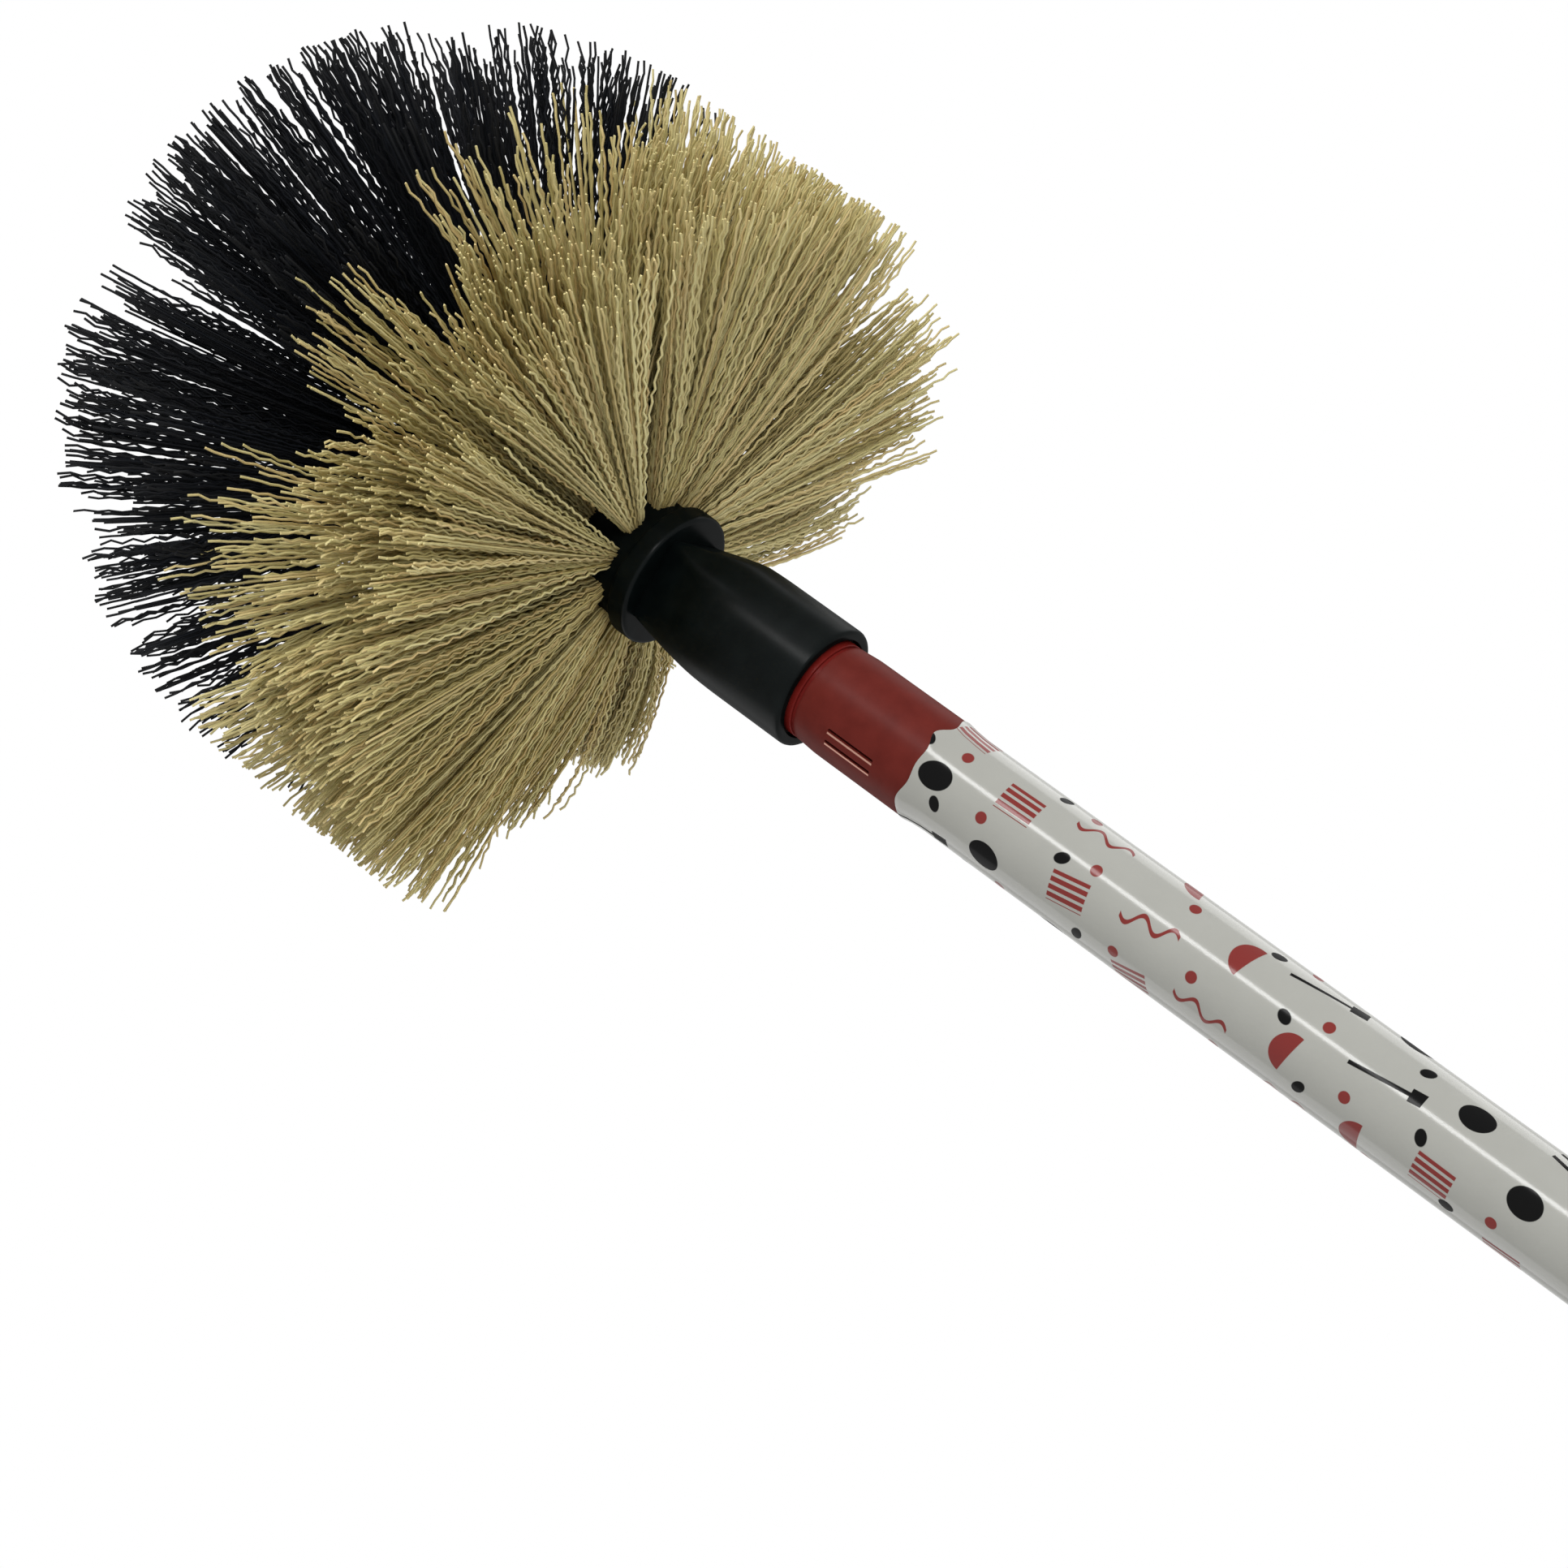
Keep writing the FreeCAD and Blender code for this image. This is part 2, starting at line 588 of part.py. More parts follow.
def make_tufts(row, dome_drum):
    """One row of tufts: folded round an anchor, straight in the hole, flared and trimmed."""
    root = doc.addObject("Part::Prism", row.label + "_root")
    root.Polygon = ROOT_SIDES
    foot = "Sizes.tuft_clearance - Sizes.hole_depth"
    bind(root, Circumradius=TUFT_ROOT, Height=f"Sizes.tuft_proud - ({foot})")
    bind(root, Placement=placement(FLATS_SQUARE, z=foot))
    corner = f"(Sizes.tuft_corner * {row.half_height})"
    half_corner = f"(({row.half_width} + {row.half_height} - {corner}) / sqrt(2))"
    flare = doc.addObject("Part::Common", row.label + "_flare")
    flare.Base = flared_wedge(row, row.label + "_wedge", row.half_height, row.half_width, 0)
    flare.Tool = flared_wedge(row, row.label + "_corners", half_corner, half_corner, 45)
    bundle = doc.addObject("Part::Fuse", row.label + "_bundle")
    bundle.Base = root
    bundle.Tool = flare
    window = doc.addObject("Part::Box", row.label + "_window")
    thickness = "(Sizes.anchor_thickness + 2 * Sizes.anchor_gap)"
    length = f"({ANCHOR_LENGTH} + 2 * Sizes.anchor_gap)"
    bind(window, Length=thickness, Width=length, Height="Sizes.anchor_width + 2 * Sizes.anchor_gap")
    low = "Sizes.anchor_floor - Sizes.anchor_gap - Sizes.hole_depth"
    bind(window, Placement=placement("rotationz(0)", f"-{thickness} / 2", f"-{length} / 2", low))
    folded = doc.addObject("Part::Cut", row.label + "_folded")
    folded.Base = bundle
    folded.Tool = window
    placed = doc.addObject("Part::Compound", row.label + "_placed")
    placed.Links = [folded]
    bind(placed, Placement=row.on_axis())
    trimmed = doc.addObject("Part::MultiCommon", row.label + "_trimmed")
    drums = [outline_drum(row.label + "_drum", row.tip_latitude)]
    if row not in cream_rows:
        drums.append(dome_drum)
    trimmed.Shapes = [placed] + drums
    return copies_round_axis(trimmed, row, row.label)


def check_and_write(subparts):
    """Stop on any failed object or shape, then write one STEP file for each sub-part."""
    doc.recompute()
    failed = [item.Label for item in doc.Objects if {"Invalid", "Error"} & set(item.State)]
    if failed:
        raise RuntimeError(f"objects that failed: {failed}")
    for item in subparts:
        if item.Shape.isNull() or not item.Shape.isValid() or not item.Shape.Solids:
            raise RuntimeError(f"{item.Label} has no valid solid")
    os.makedirs("parts", exist_ok=True)
    for item in subparts:
        item.Shape.exportStep(f"parts/{item.Label}.step")
    print(f"{len(subparts)} sub-parts written")


subparts = make_hanging_cap() + make_handle_tube() + make_print_sleeve() + make_threaded_tip()
subparts += make_brush_block() + make_tuft_anchors()
dome_drum = make_dome_drum()
for row in tuft_rows:
    subparts += make_tufts(row, dome_drum)
check_and_write(subparts)
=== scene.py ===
"""Cobweb brush: bristle head, moulded block and film-covered handle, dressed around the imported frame."""

import logging
import math
from collections.abc import Callable, Iterable, Sequence
from dataclasses import dataclass
from enum import Enum
from typing import Any

import bmesh
import bpy
import numpy as np
from mathutils import Matrix, Vector


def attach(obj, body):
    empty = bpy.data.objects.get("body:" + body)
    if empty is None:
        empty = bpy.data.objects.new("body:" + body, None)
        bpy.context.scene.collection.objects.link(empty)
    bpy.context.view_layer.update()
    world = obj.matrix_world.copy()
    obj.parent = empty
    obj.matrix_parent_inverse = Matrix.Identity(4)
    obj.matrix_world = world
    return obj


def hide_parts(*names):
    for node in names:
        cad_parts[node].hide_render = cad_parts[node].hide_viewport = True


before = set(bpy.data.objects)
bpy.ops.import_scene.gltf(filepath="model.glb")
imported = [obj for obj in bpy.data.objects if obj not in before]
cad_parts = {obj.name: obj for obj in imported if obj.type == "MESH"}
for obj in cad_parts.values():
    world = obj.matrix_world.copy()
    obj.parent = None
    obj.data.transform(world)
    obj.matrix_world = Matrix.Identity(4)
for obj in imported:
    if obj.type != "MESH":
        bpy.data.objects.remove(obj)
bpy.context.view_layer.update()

log = logging.getLogger("cobweb_brush")

MM = 0.001
PHOTO_PIXELS = 1932

AROUND = 144
SAME = 1e-6
DOUBLES = 1e-7
FILLET_REACH = 0.48

THREAD_PITCH = 5.4
RIDGE_SLOPE = 5.0
RIDGE_GAP = 0.9
RUN_OUT = 1.5

Point = tuple[float, float, float]
Colour = tuple[float, float, float, float]
Outline = list[tuple[float, float]]
Grid = np.ndarray
Shape = Callable[[Grid, Grid, Grid], tuple[Grid, Grid]]
Sockets = dict[str | int, Any]

PURE_BLACK: Colour = (0.0, 0.0, 0.0, 1.0)
PURE_WHITE: Colour = (1.0, 1.0, 1.0, 1.0)


class Body(Enum):
    """The two bodies of the frame that pieces ride on."""

    HANDLE = "handle"
    HEAD = "head"


class Slot(Enum):
    """The record's material slots that new pieces take."""

    RED_ENAMEL = "red_enamel"
    PRINTED_FILM = "printed_film"
    RED_PLASTIC = "red_plastic"
    BLACK_PLASTIC = "black_plastic"
    CREAM_BRISTLE = "cream_bristle"
    BLACK_BRISTLE = "black_bristle"


class Cut(Enum):
    """How one mesh is cut or joined by another."""

    DRILL = "DIFFERENCE"
    WELD = "UNION"


class Ink(Enum):
    """The inks of the printed film."""

    BLACK = "black"
    RED = "red"


class Draw(Enum):
    """The random draws in one tuft, each with the number that sets it apart."""

    ACROSS = 101
    ABOVE = 202
    STRAY_ACROSS = 303
    STRAY_ABOVE = 404
    TRIM = 505
    SWAY = 606
    LOCK_PHASE = 707
    STRAND_PHASE = 808
    LOCK_TILT = 909
    STRAND_TILT = 111
    STRAND_SHADE = 222
    LOCK_SHADE = 333


def srgb(red: int, green: int, blue: int) -> Colour:
    """A linear colour from display values.

    Args:
        red: Red from 0 to 255.
        green: Green from 0 to 255.
        blue: Blue from 0 to 255.

    Returns:
        The colour with an alpha of 1.
    """
    shares = (value / 255 for value in (red, green, blue))
    linear = [s / 12.92 if s <= 0.04045 else ((s + 0.055) / 1.055) ** 2.4 for s in shares]
    return (linear[0], linear[1], linear[2], 1.0)


class Wire:
    """An output socket whose Python operators add Math or Vector Math nodes."""

    def __init__(self, graph: "Graph", socket: bpy.types.NodeSocket) -> None:
        """Wraps one output socket of a graph."""
        self.graph = graph
        self.socket = socket

    def is_vector(self) -> bool:
        """Whether the socket carries a vector or a colour."""
        return self.socket.type in {"VECTOR", "RGBA"}

    def sibling(self, name: str) -> "Wire":
        """Another output of the same node, by name."""
        return Wire(self.graph, self.graph.pick(self.socket.node.outputs, name))

    def __add__(self, other: Any) -> "Wire":
        """Sum."""
        return self.graph.maths("ADD", self, other)

    def __radd__(self, other: Any) -> "Wire":
        """Sum with the plain value first."""
        return self.graph.maths("ADD", other, self)

    def __sub__(self, other: Any) -> "Wire":
        """Difference."""
        return self.graph.maths("SUBTRACT", self, other)

    def __rsub__(self, other: Any) -> "Wire":
        """Difference from a plain value."""
        return self.graph.maths("SUBTRACT", other, self)

    def __mul__(self, other: Any) -> "Wire":
        """Product, or a vector scaled by a number."""
        return self.graph.maths("MULTIPLY", self, other)

    def __rmul__(self, other: Any) -> "Wire":
        """Product with the plain value first."""
        return self.graph.maths("MULTIPLY", other, self)

    def __truediv__(self, other: Any) -> "Wire":
        """Quotient."""
        return self.graph.maths("DIVIDE", self, other)

    def __rtruediv__(self, other: Any) -> "Wire":
        """A plain value over this one."""
        return self.graph.maths("DIVIDE", other, self)

    def __abs__(self) -> "Wire":
        """The absolute value."""
        return self.graph.maths("ABSOLUTE", self)

    def clamp(self) -> "Wire":
        """The value held between 0 and 1."""
        return self.graph.node("ShaderNodeClamp", {}, {"Value": self})


class Graph:
    """A node tree that is written as Python expressions."""

    def __init__(self, tree: bpy.types.NodeTree) -> None:
        """Takes the tree that nodes are added to."""
        self.tree = tree

    @staticmethod
    def pick(sockets: Iterable[bpy.types.NodeSocket], name: str = "") -> bpy.types.NodeSocket:
        """The first socket in use with that name, or the first in use."""
        return next(s for s in sockets if s.enabled and (not name or s.name == name))

    def node(
        self,
        kind: str,
        settings: dict[str, Any] | None = None,
        inputs: Sockets | None = None,
        output: str = "",
    ) -> Wire | None:
        """Adds one node.

        Args:
            kind: The node's type.
            settings: Its properties, set before its sockets.
            inputs: Values or wires by socket name or number.
            output: The output that is wanted, or nothing for the first.

        Returns:
            The wire of that output, or None for a node without outputs.
        """
        made = self.tree.nodes.new(kind)
        for name, value in (settings or {}).items():
            setattr(made, name, value)
        for key, value in (inputs or {}).items():
            socket = made.inputs[key] if isinstance(key, int) else self.pick(made.inputs, key)
            if isinstance(value, Wire):
                self.tree.links.new(value.socket, socket)
            elif socket.type == "VECTOR" and isinstance(value, (int, float)):
                socket.default_value = (value, value, value)
            else:
                socket.default_value = value
        return Wire(self, self.pick(made.outputs, output)) if len(made.outputs) else None

    def maths(self, operation: str, *values: Any) -> Wire:
        """One step of maths on numbers or vectors.

        Args:
            operation: The Math or Vector Math operation.
            values: Wires, numbers or vectors.

        Returns:
            The result.
        """
        vectors = [
            value.is_vector() if isinstance(value, Wire) else not isinstance(value, (int, float))
            for value in values
        ]
        if operation == "MULTIPLY" and any(vectors) and not all(vectors):
            vector, number = values if vectors[0] else values[::-1]
            inputs = {"Vector": vector, "Scale": number}
            return self.node("ShaderNodeVectorMath", {"operation": "SCALE"}, inputs)
        kind = "ShaderNodeVectorMath" if any(vectors) else "ShaderNodeMath"
        return self.node(kind, {"operation": operation}, dict(enumerate(values)))

    def dot(self, first: Any, second: Any) -> Wire:
        """The dot product of two vectors."""
        return self.maths("DOT_PRODUCT", first, second)

    def mix(self, share: Any, first: Any, second: Any) -> Wire:
        """A colour between two colours, by the second one's share."""
        inputs = {"Factor": share, "A": first, "B": second}
        return self.node("ShaderNodeMix", {"data_type": "RGBA"}, inputs)

    def axes(self, vector: Wire) -> tuple[Wire, Wire, Wire]:
        """The three parts of a vector."""
        first = self.node("ShaderNodeSeparateXYZ", {}, {"Vector": vector}, "X")
        return first, first.sibling("Y"), first.sibling("Z")

    def random(self, low: float, high: float, identity: Wire, seed: Wire) -> Wire:
        """A random number for each element of a geometry tree."""
        inputs = {"Min": low, "Max": high, "ID": identity, "Seed": seed}
        return self.node("FunctionNodeRandomValue", {"data_type": "FLOAT"}, inputs)

    def noise(self, where: Wire, scale: float, detail: float = 2.0) -> Wire:
        """Smooth noise about 0.5."""
        inputs = {"Vector": where, "Scale": scale, "Detail": detail}
        return self.node("ShaderNodeTexNoise", {}, inputs, "Fac")

    def place(self) -> Wire:
        """The place on the object, in metres."""
        return self.node("ShaderNodeTexCoord", {}, {}, "Object")

    def attribute(self, name: str) -> Wire:
        """A number that is stored on the mesh."""
        return self.node("ShaderNodeAttribute", {"attribute_name": name}, {}, "Fac")

    def bump(self, height: Wire, depth: float) -> Wire:
        """A normal pushed by a height, with its depth given in millimetres."""
        inputs = {"Strength": 1.0, "Distance": depth * MM, "Height": height}
        return self.node("ShaderNodeBump", {}, inputs)


@dataclass(frozen=True)
class Finish:
    """What a surface is made of: one Principled shader fed by its own graph."""

    name: str
    specular: float = 0.5
    coat: float = 0.0
    coat_roughness: float = 0.1

    def make(self) -> bpy.types.Material:
        """The finish as a material.

        Returns:
            The new material.
        """
        material = bpy.data.materials.new(self.name)
        material.use_nodes = True
        material.node_tree.nodes.clear()
        graph = Graph(material.node_tree)
        inputs: Sockets = {
            "Specular IOR Level": self.specular,
            "Coat Weight": self.coat,
            "Coat Roughness": self.coat_roughness,
        }
        inputs.update(self.surface(graph))
        shader = graph.node("ShaderNodeBsdfPrincipled", {}, inputs)
        graph.node("ShaderNodeOutputMaterial", {}, {"Surface": shader})
        return material

    def surface(self, graph: Graph) -> Sockets:
        """What varies over the surface, by shader socket."""
        raise NotImplementedError


@dataclass(frozen=True)
class BristleFinish(Finish):
    """Extruded filament: each strand has its own shade, darkened near its root by painted shade inside the
    tuft, and paler at its cut end.
    """

    dark: Colour = PURE_BLACK
    light: Colour = PURE_BLACK
    # Painted shade: the darker colour that strands take near their roots, where the tuft shades them.
    root_shade: Colour = PURE_BLACK
    cut_end: Colour = PURE_BLACK
    tint: Colour = PURE_BLACK
    root_shade_share: float = 0.7
    root_shade_rate: float = 5.0
    cut_share: float = 0.5
    cut_start: float = 0.9
    cut_rate: float = 10.0
    tint_share: float = 0.5
    tint_step: float = 7.31
    roughness: float = 0.4
    roughness_spread: float = 0.16

    def surface(self, graph: Graph) -> Sockets:
        """Shade by strand and by place along it.

        Args:
            graph: The material's graph.

        Returns:
            Colour and roughness.
        """
        strand = graph.attribute("strand")
        along = graph.attribute("along")
        body = graph.mix(strand, self.dark, self.light)
        dice = graph.maths("FRACT", strand * self.tint_step)
        body = graph.mix(dice * dice * self.tint_share, body, self.tint)
        # Painted shade: each strand darkens towards the root colour over the first part of its length,
        # where the tuft shades it.
        root_shade_mask = (1.0 - along * self.root_shade_rate).clamp() * self.root_shade_share
        body = graph.mix(root_shade_mask, body, self.root_shade)
        end = ((along - self.cut_start) * self.cut_rate).clamp() * self.cut_share
        return {
            "Base Color": graph.mix(end, body, self.cut_end),
            "Roughness": strand * self.roughness_spread + self.roughness,
        }


@dataclass(frozen=True)
class MouldedFinish(Finish):
    """Moulded plastic with a faint grain and uneven gloss."""

    dark: Colour = PURE_BLACK
    light: Colour = PURE_BLACK
    roughness: float = 0.42
    roughness_spread: float = 0.3
    cloud_scale: float = 170.0
    cloud_floor: float = 0.35
    cloud_contrast: float = 3.0
    grain_scale: float = 1900.0
    grain_depth: float = 0.06

    def surface(self, graph: Graph) -> Sockets:
        """Cloudy colour, patchy gloss and fine grain.

        Args:
            graph: The material's graph.

        Returns:
            Colour, roughness and normal.
        """
        where = graph.place()
        cloud = graph.noise(where, self.cloud_scale, 3.0)
        share = ((cloud - self.cloud_floor) * self.cloud_contrast).clamp()
        return {
            "Base Color": graph.mix(share, self.dark, self.light),
            "Roughness": (cloud - 0.5) * self.roughness_spread + self.roughness,
            "Normal": graph.bump(graph.noise(where, self.grain_scale), self.grain_depth),
        }


@dataclass(frozen=True)
class SlitPair:
    """The two locking slits in the tube's film-free end, in millimetres and degrees."""

    turn: float = -130.0
    middle: float = 1161.5
    half_width: float = 0.4
    half_length: float = 6.0
    offset: float = 1.4


SLITS = SlitPair()


@dataclass(frozen=True)
class EnamelFinish(Finish):
    """Red enamel on steel, with a pale metal band along one edge of each slit: partly scuffed-through
    enamel, partly a painted highlight on the slit's lit edge.
    """

    dark: Colour = PURE_BLACK
    light: Colour = PURE_BLACK
    # Painted highlight: the pale metal colour along one edge of each slit, where light catches it, partly
    # scuffed metal.
    scuffed_highlight_colour: Colour = PURE_BLACK
    slits: SlitPair = SLITS
    scuffed_highlight_width: float = 0.55
    scuffed_highlight_sharpness: float = 8.0
    scuffed_highlight_metal: float = 0.5
    ragged_scale: float = 1500.0
    roughness: float = 0.34
    cloud_scale: float = 240.0
    ripple_scale: float = 700.0
    ripple_depth: float = 0.05

    def scuffed_highlight(self, graph: Graph, where: Wire) -> Wire:
        """Where the enamel is scuffed through and a highlight is painted, along one edge of each slit on
        their own side of the tube.

        Args:
            graph: The material's graph.
            where: The place on the tube.

        Returns:
            1 on the pale metal band with its painted highlight and 0 on enamel.
        """
        slits = self.slits
        x, y, z = graph.axes(where)
        turn = math.radians(slits.turn)
        cosine, sine = math.cos(turn), math.sin(turn)
        across = (y * cosine - x * sine) / MM
        edge = slits.half_width + self.scuffed_highlight_width / 2
        first = abs(across - (slits.offset - edge))
        second = abs(across + (slits.offset + edge))
        beyond = abs(z / MM - slits.middle) - slits.half_length + self.scuffed_highlight_width / 2
        away = graph.maths("MAXIMUM", graph.maths("MINIMUM", first, second), beyond)
        facing = ((x * cosine + y * sine) / MM).clamp()
        ragged = graph.noise(where, self.ragged_scale, 3.0) * 0.4 + 0.8
        return ((self.scuffed_highlight_width / 2 * ragged - away) * self.scuffed_highlight_sharpness).clamp() * facing

    def surface(self, graph: Graph) -> Sockets:
        """Enamel with scuffed slit edges that carry a painted highlight.

        Args:
            graph: The material's graph.

        Returns:
            Colour, roughness, metal and normal.
        """
        where = graph.place()
        # Painted highlight: a pale, half-metal band on one side of each slit, partly scuffed-through
        # enamel.
        scuffed_highlight = self.scuffed_highlight(graph, where)
        cloud = graph.noise(where, self.cloud_scale, 3.0)
        enamel = graph.mix(cloud, self.dark, self.light)
        return {
            "Base Color": graph.mix(scuffed_highlight, enamel, self.scuffed_highlight_colour),
            "Roughness": (cloud - 0.5) * 0.2 + self.roughness + scuffed_highlight * 0.1,
            "Metallic": scuffed_highlight * self.scuffed_highlight_metal,
            "Normal": graph.bump(graph.noise(where, self.ripple_scale), self.ripple_depth),
        }


@dataclass(frozen=True)
class PrintLayer:
    """One scatter of a print: columns of cells that wind along the tube, each cell with one motif."""

    round_count: int
    pitch: float
    seed: float
    stray: float
    tilt: float
    twist: float
    shift: float
    column_step: float = 0.382
    row_step: float = 0.618
    seed_step: float = 0.1


MOTIF_LAYER = PrintLayer(
    round_count=5, pitch=18.0, seed=5.0, stray=0.14, tilt=16.0, twist=0.37, shift=0.35
)
DOT_LAYER = PrintLayer(
    round_count=5, pitch=9.0, seed=31.0, stray=0.3, tilt=90.0, twist=0.185, shift=0.85
)


@dataclass(frozen=True)
class FilmFinish(Finish):
    """Glossy white film with a plain scatter of ovals, half-discs, bars, stripes, squiggles and dots."""

    ground: Colour = PURE_BLACK
    shade: Colour = PURE_BLACK
    black: Colour = PURE_BLACK
    red: Colour = PURE_BLACK
    black_dulls: float = 0.67
    red_share: float = 0.5
    tube_radius: float = 11.0
    roughness: float = 0.3
    cloud_scale: float = 90.0
    ripple_scale: float = 420.0
    ripple_depth: float = 0.05
    edge_softness: float = 0.12
    oval_half: tuple[float, float] = (2.9, 3.7)
    disc_half: float = 4.3
    disc_drop: float = 2.0
    pair_half: tuple[float, float] = (0.5, 3.6)
    pair_offset: float = 1.4
    block_half: tuple[float, float] = (3.2, 4.2)
    stripe_pitch: float = 1.6
    stripe_share: float = 0.62
    stick_half: tuple[float, float] = (0.42, 8.0)
    foot_half: tuple[float, float] = (1.4, 1.9)
    foot_drop: float = 7.0
    squiggle_half: tuple[float, float] = (0.5, 6.5)
    squiggle_rate: float = 0.95
    squiggle_swing: float = 1.3
    dot_half: float = 1.25
    dot_limit: float = 0.3
    speck_half: tuple[float, float] = (1.7, 1.2)
    speck_limit: float = 0.7

    def cell(self, graph: Graph, layer: PrintLayer) -> tuple[Wire, Wire, Wire]:
        """Places inside the cells of one layer, turned and shifted cell by cell.

        Args:
            graph: The material's graph.
            layer: The grid and how loosely its motifs lie.

        Returns:
            The motif's own two coordinates in millimetres and the cell's number that picks a motif.
        """
        x, y, z = graph.axes(graph.place())
        rise = z / (layer.pitch * MM)
        turn = graph.maths("ARCTAN2", y, x) * (layer.round_count / math.tau)
        turn = turn + rise * layer.twist + layer.shift
        column = graph.maths("WRAP", graph.maths("FLOOR", turn), float(layer.round_count), 0.0)
        row = graph.maths("FLOOR", rise)
        number = graph.node("ShaderNodeCombineXYZ", {}, {"X": column, "Y": row, "Z": layer.seed})
        dice = graph.node(
            "ShaderNodeTexWhiteNoise", {"noise_dimensions": "3D"}, {"Vector": number}, "Color"
        )
        first, second, third = graph.axes(dice)
        width = math.tau * self.tube_radius / layer.round_count
        high = graph.maths("FRACT", rise) - 0.5
        level = graph.maths("FRACT", turn) - 0.5 - high * layer.twist
        across = (level + (first - 0.5) * layer.stray) * width
        along = (high + (second - 0.5) * layer.stray) * layer.pitch
        angle = (third - 0.5) * (2.0 * math.radians(layer.tilt))
        cosine = graph.maths("COSINE", angle)
        sine = graph.maths("SINE", angle)
        steps = column * layer.column_step + row * layer.row_step + layer.seed * layer.seed_step
        kind = graph.maths("FRACT", steps)
        return across * cosine + along * sine, along * cosine - across * sine, kind

    @staticmethod
    def oval(graph: Graph, x: Wire, y: Wire, half_x: float, half_y: float) -> Wire:
        """How far a place lies inside an oval, in shares of its half width."""
        return 1.0 - graph.maths("SQRT", (x / half_x) * (x / half_x) + (y / half_y) * (y / half_y))

    def bar(self, graph: Graph, x: Wire, y: Wire, half: tuple[float, float]) -> Wire:
        """Ink in the shape of a bar of that half width and half length."""
        return self.ink(graph.maths("MINIMUM", half[0] - abs(x), half[1] - abs(y)))

    def ink(self, depth: Wire) -> Wire:
        """Ink where the depth is above zero, with a soft edge."""
        return (depth / self.edge_softness + 0.5).clamp()

    def motifs(self, graph: Graph, x: Wire, y: Wire) -> tuple[tuple[float, Ink, Wire], ...]:
        """The motifs that a cell may hold.

        Args:
            graph: The material's graph.
            x: The place across the motif.
            y: The place along the motif.

        Returns:
            The limit of each motif's share of the cells, its ink and its shape.
        """
        disc_y = y + self.disc_drop
        disc = self.ink(self.oval(graph, x, disc_y, self.disc_half, self.disc_half) * self.disc_half)
        stripes = graph.maths("FRACT", x / self.stripe_pitch + 0.5)
        stripes = graph.maths("LESS_THAN", stripes, self.stripe_share)
        stick = self.bar(graph, x, y, self.stick_half)
        foot = self.bar(graph, x, y + self.foot_drop, self.foot_half)
        swung = x - graph.maths("SINE", y * self.squiggle_rate) * self.squiggle_swing
        return (
            (0.24, Ink.BLACK, self.ink(self.oval(graph, x, y, *self.oval_half) * self.oval_half[0])),
            (0.40, Ink.RED, disc * self.ink(disc_y)),
            (0.52, Ink.BLACK, self.bar(graph, abs(x) - self.pair_offset, y, self.pair_half)),
            (0.68, Ink.RED, self.bar(graph, x, y, self.block_half) * stripes),
            (0.86, Ink.BLACK, stick + foot),
            (1.00, Ink.RED, self.bar(graph, swung, y, self.squiggle_half)),
        )

    def surface(self, graph: Graph) -> Sockets:
        """The print over the ground, and the film's own unevenness.

        Args:
            graph: The material's graph.

        Returns:
            Colour, roughness, coat and normal.
        """
        x, y, kind = self.cell(graph, MOTIF_LAYER)
        inks: dict[Ink, Any] = {Ink.BLACK: 0.0, Ink.RED: 0.0}
        passed: Any = 0.0
        for limit, ink, motif in self.motifs(graph, x, y):
            below = graph.maths("LESS_THAN", kind, limit)
            inks[ink] = motif * (below - passed) + inks[ink]
            passed = below
        x, y, kind = self.cell(graph, DOT_LAYER)
        dot = self.ink(self.oval(graph, x, y, self.dot_half, self.dot_half))
        dot = dot * graph.maths("LESS_THAN", kind, self.dot_limit)
        speck = self.ink(self.oval(graph, x, y, *self.speck_half))
        speck = speck * graph.maths("GREATER_THAN", kind, self.speck_limit)
        red = (inks[Ink.RED] + dot).clamp()
        black = (inks[Ink.BLACK] + speck).clamp()
        where = graph.place()
        cloud = graph.noise(where, self.cloud_scale, 3.0)
        colour = graph.mix(red, graph.mix(cloud, self.ground, self.shade), self.red)
        dulled = graph.maths("MAXIMUM", red * self.red_share, black)
        return {
            "Base Color": graph.mix(black, colour, self.black),
            "Roughness": (cloud - 0.5) * 0.1 + self.roughness,
            "Coat Weight": self.coat - dulled * self.black_dulls,
            "Normal": graph.bump(graph.noise(where, self.ripple_scale), self.ripple_depth),
        }


@dataclass(frozen=True)
class SteelFinish(Finish):
    """Drawn steel with fine streaks."""

    tone: Colour = PURE_BLACK
    streak: Colour = PURE_BLACK
    streak_stretch: Point = (4.0, 4.0, 0.4)
    streak_scale: float = 900.0

    def surface(self, graph: Graph) -> Sockets:
        """Streaked bright metal.

        Args:
            graph: The material's graph.

        Returns:
            Colour, roughness and metal.
        """
        streaks = graph.noise(graph.place() * self.streak_stretch, self.streak_scale, 3.0)
        return {
            "Base Color": graph.mix(streaks, self.streak, self.tone),
            "Roughness": streaks * 0.2 + 0.25,
            "Metallic": 1.0,
        }


def seen_rays(graph: Graph) -> Wire:
    """Which rays show the surround: straight, mirrored or through glass.

    Args:
        graph: The graph of the floor or the world.

    Returns:
        1 for such rays and 0 for plain light.
    """
    rays = graph.node("ShaderNodeLightPath", {}, {}, "Is Camera Ray")
    seen = graph.maths("MAXIMUM", rays, rays.sibling("Is Glossy Ray"))
    return graph.maths("MAXIMUM", seen, rays.sibling("Is Transmission Ray"))


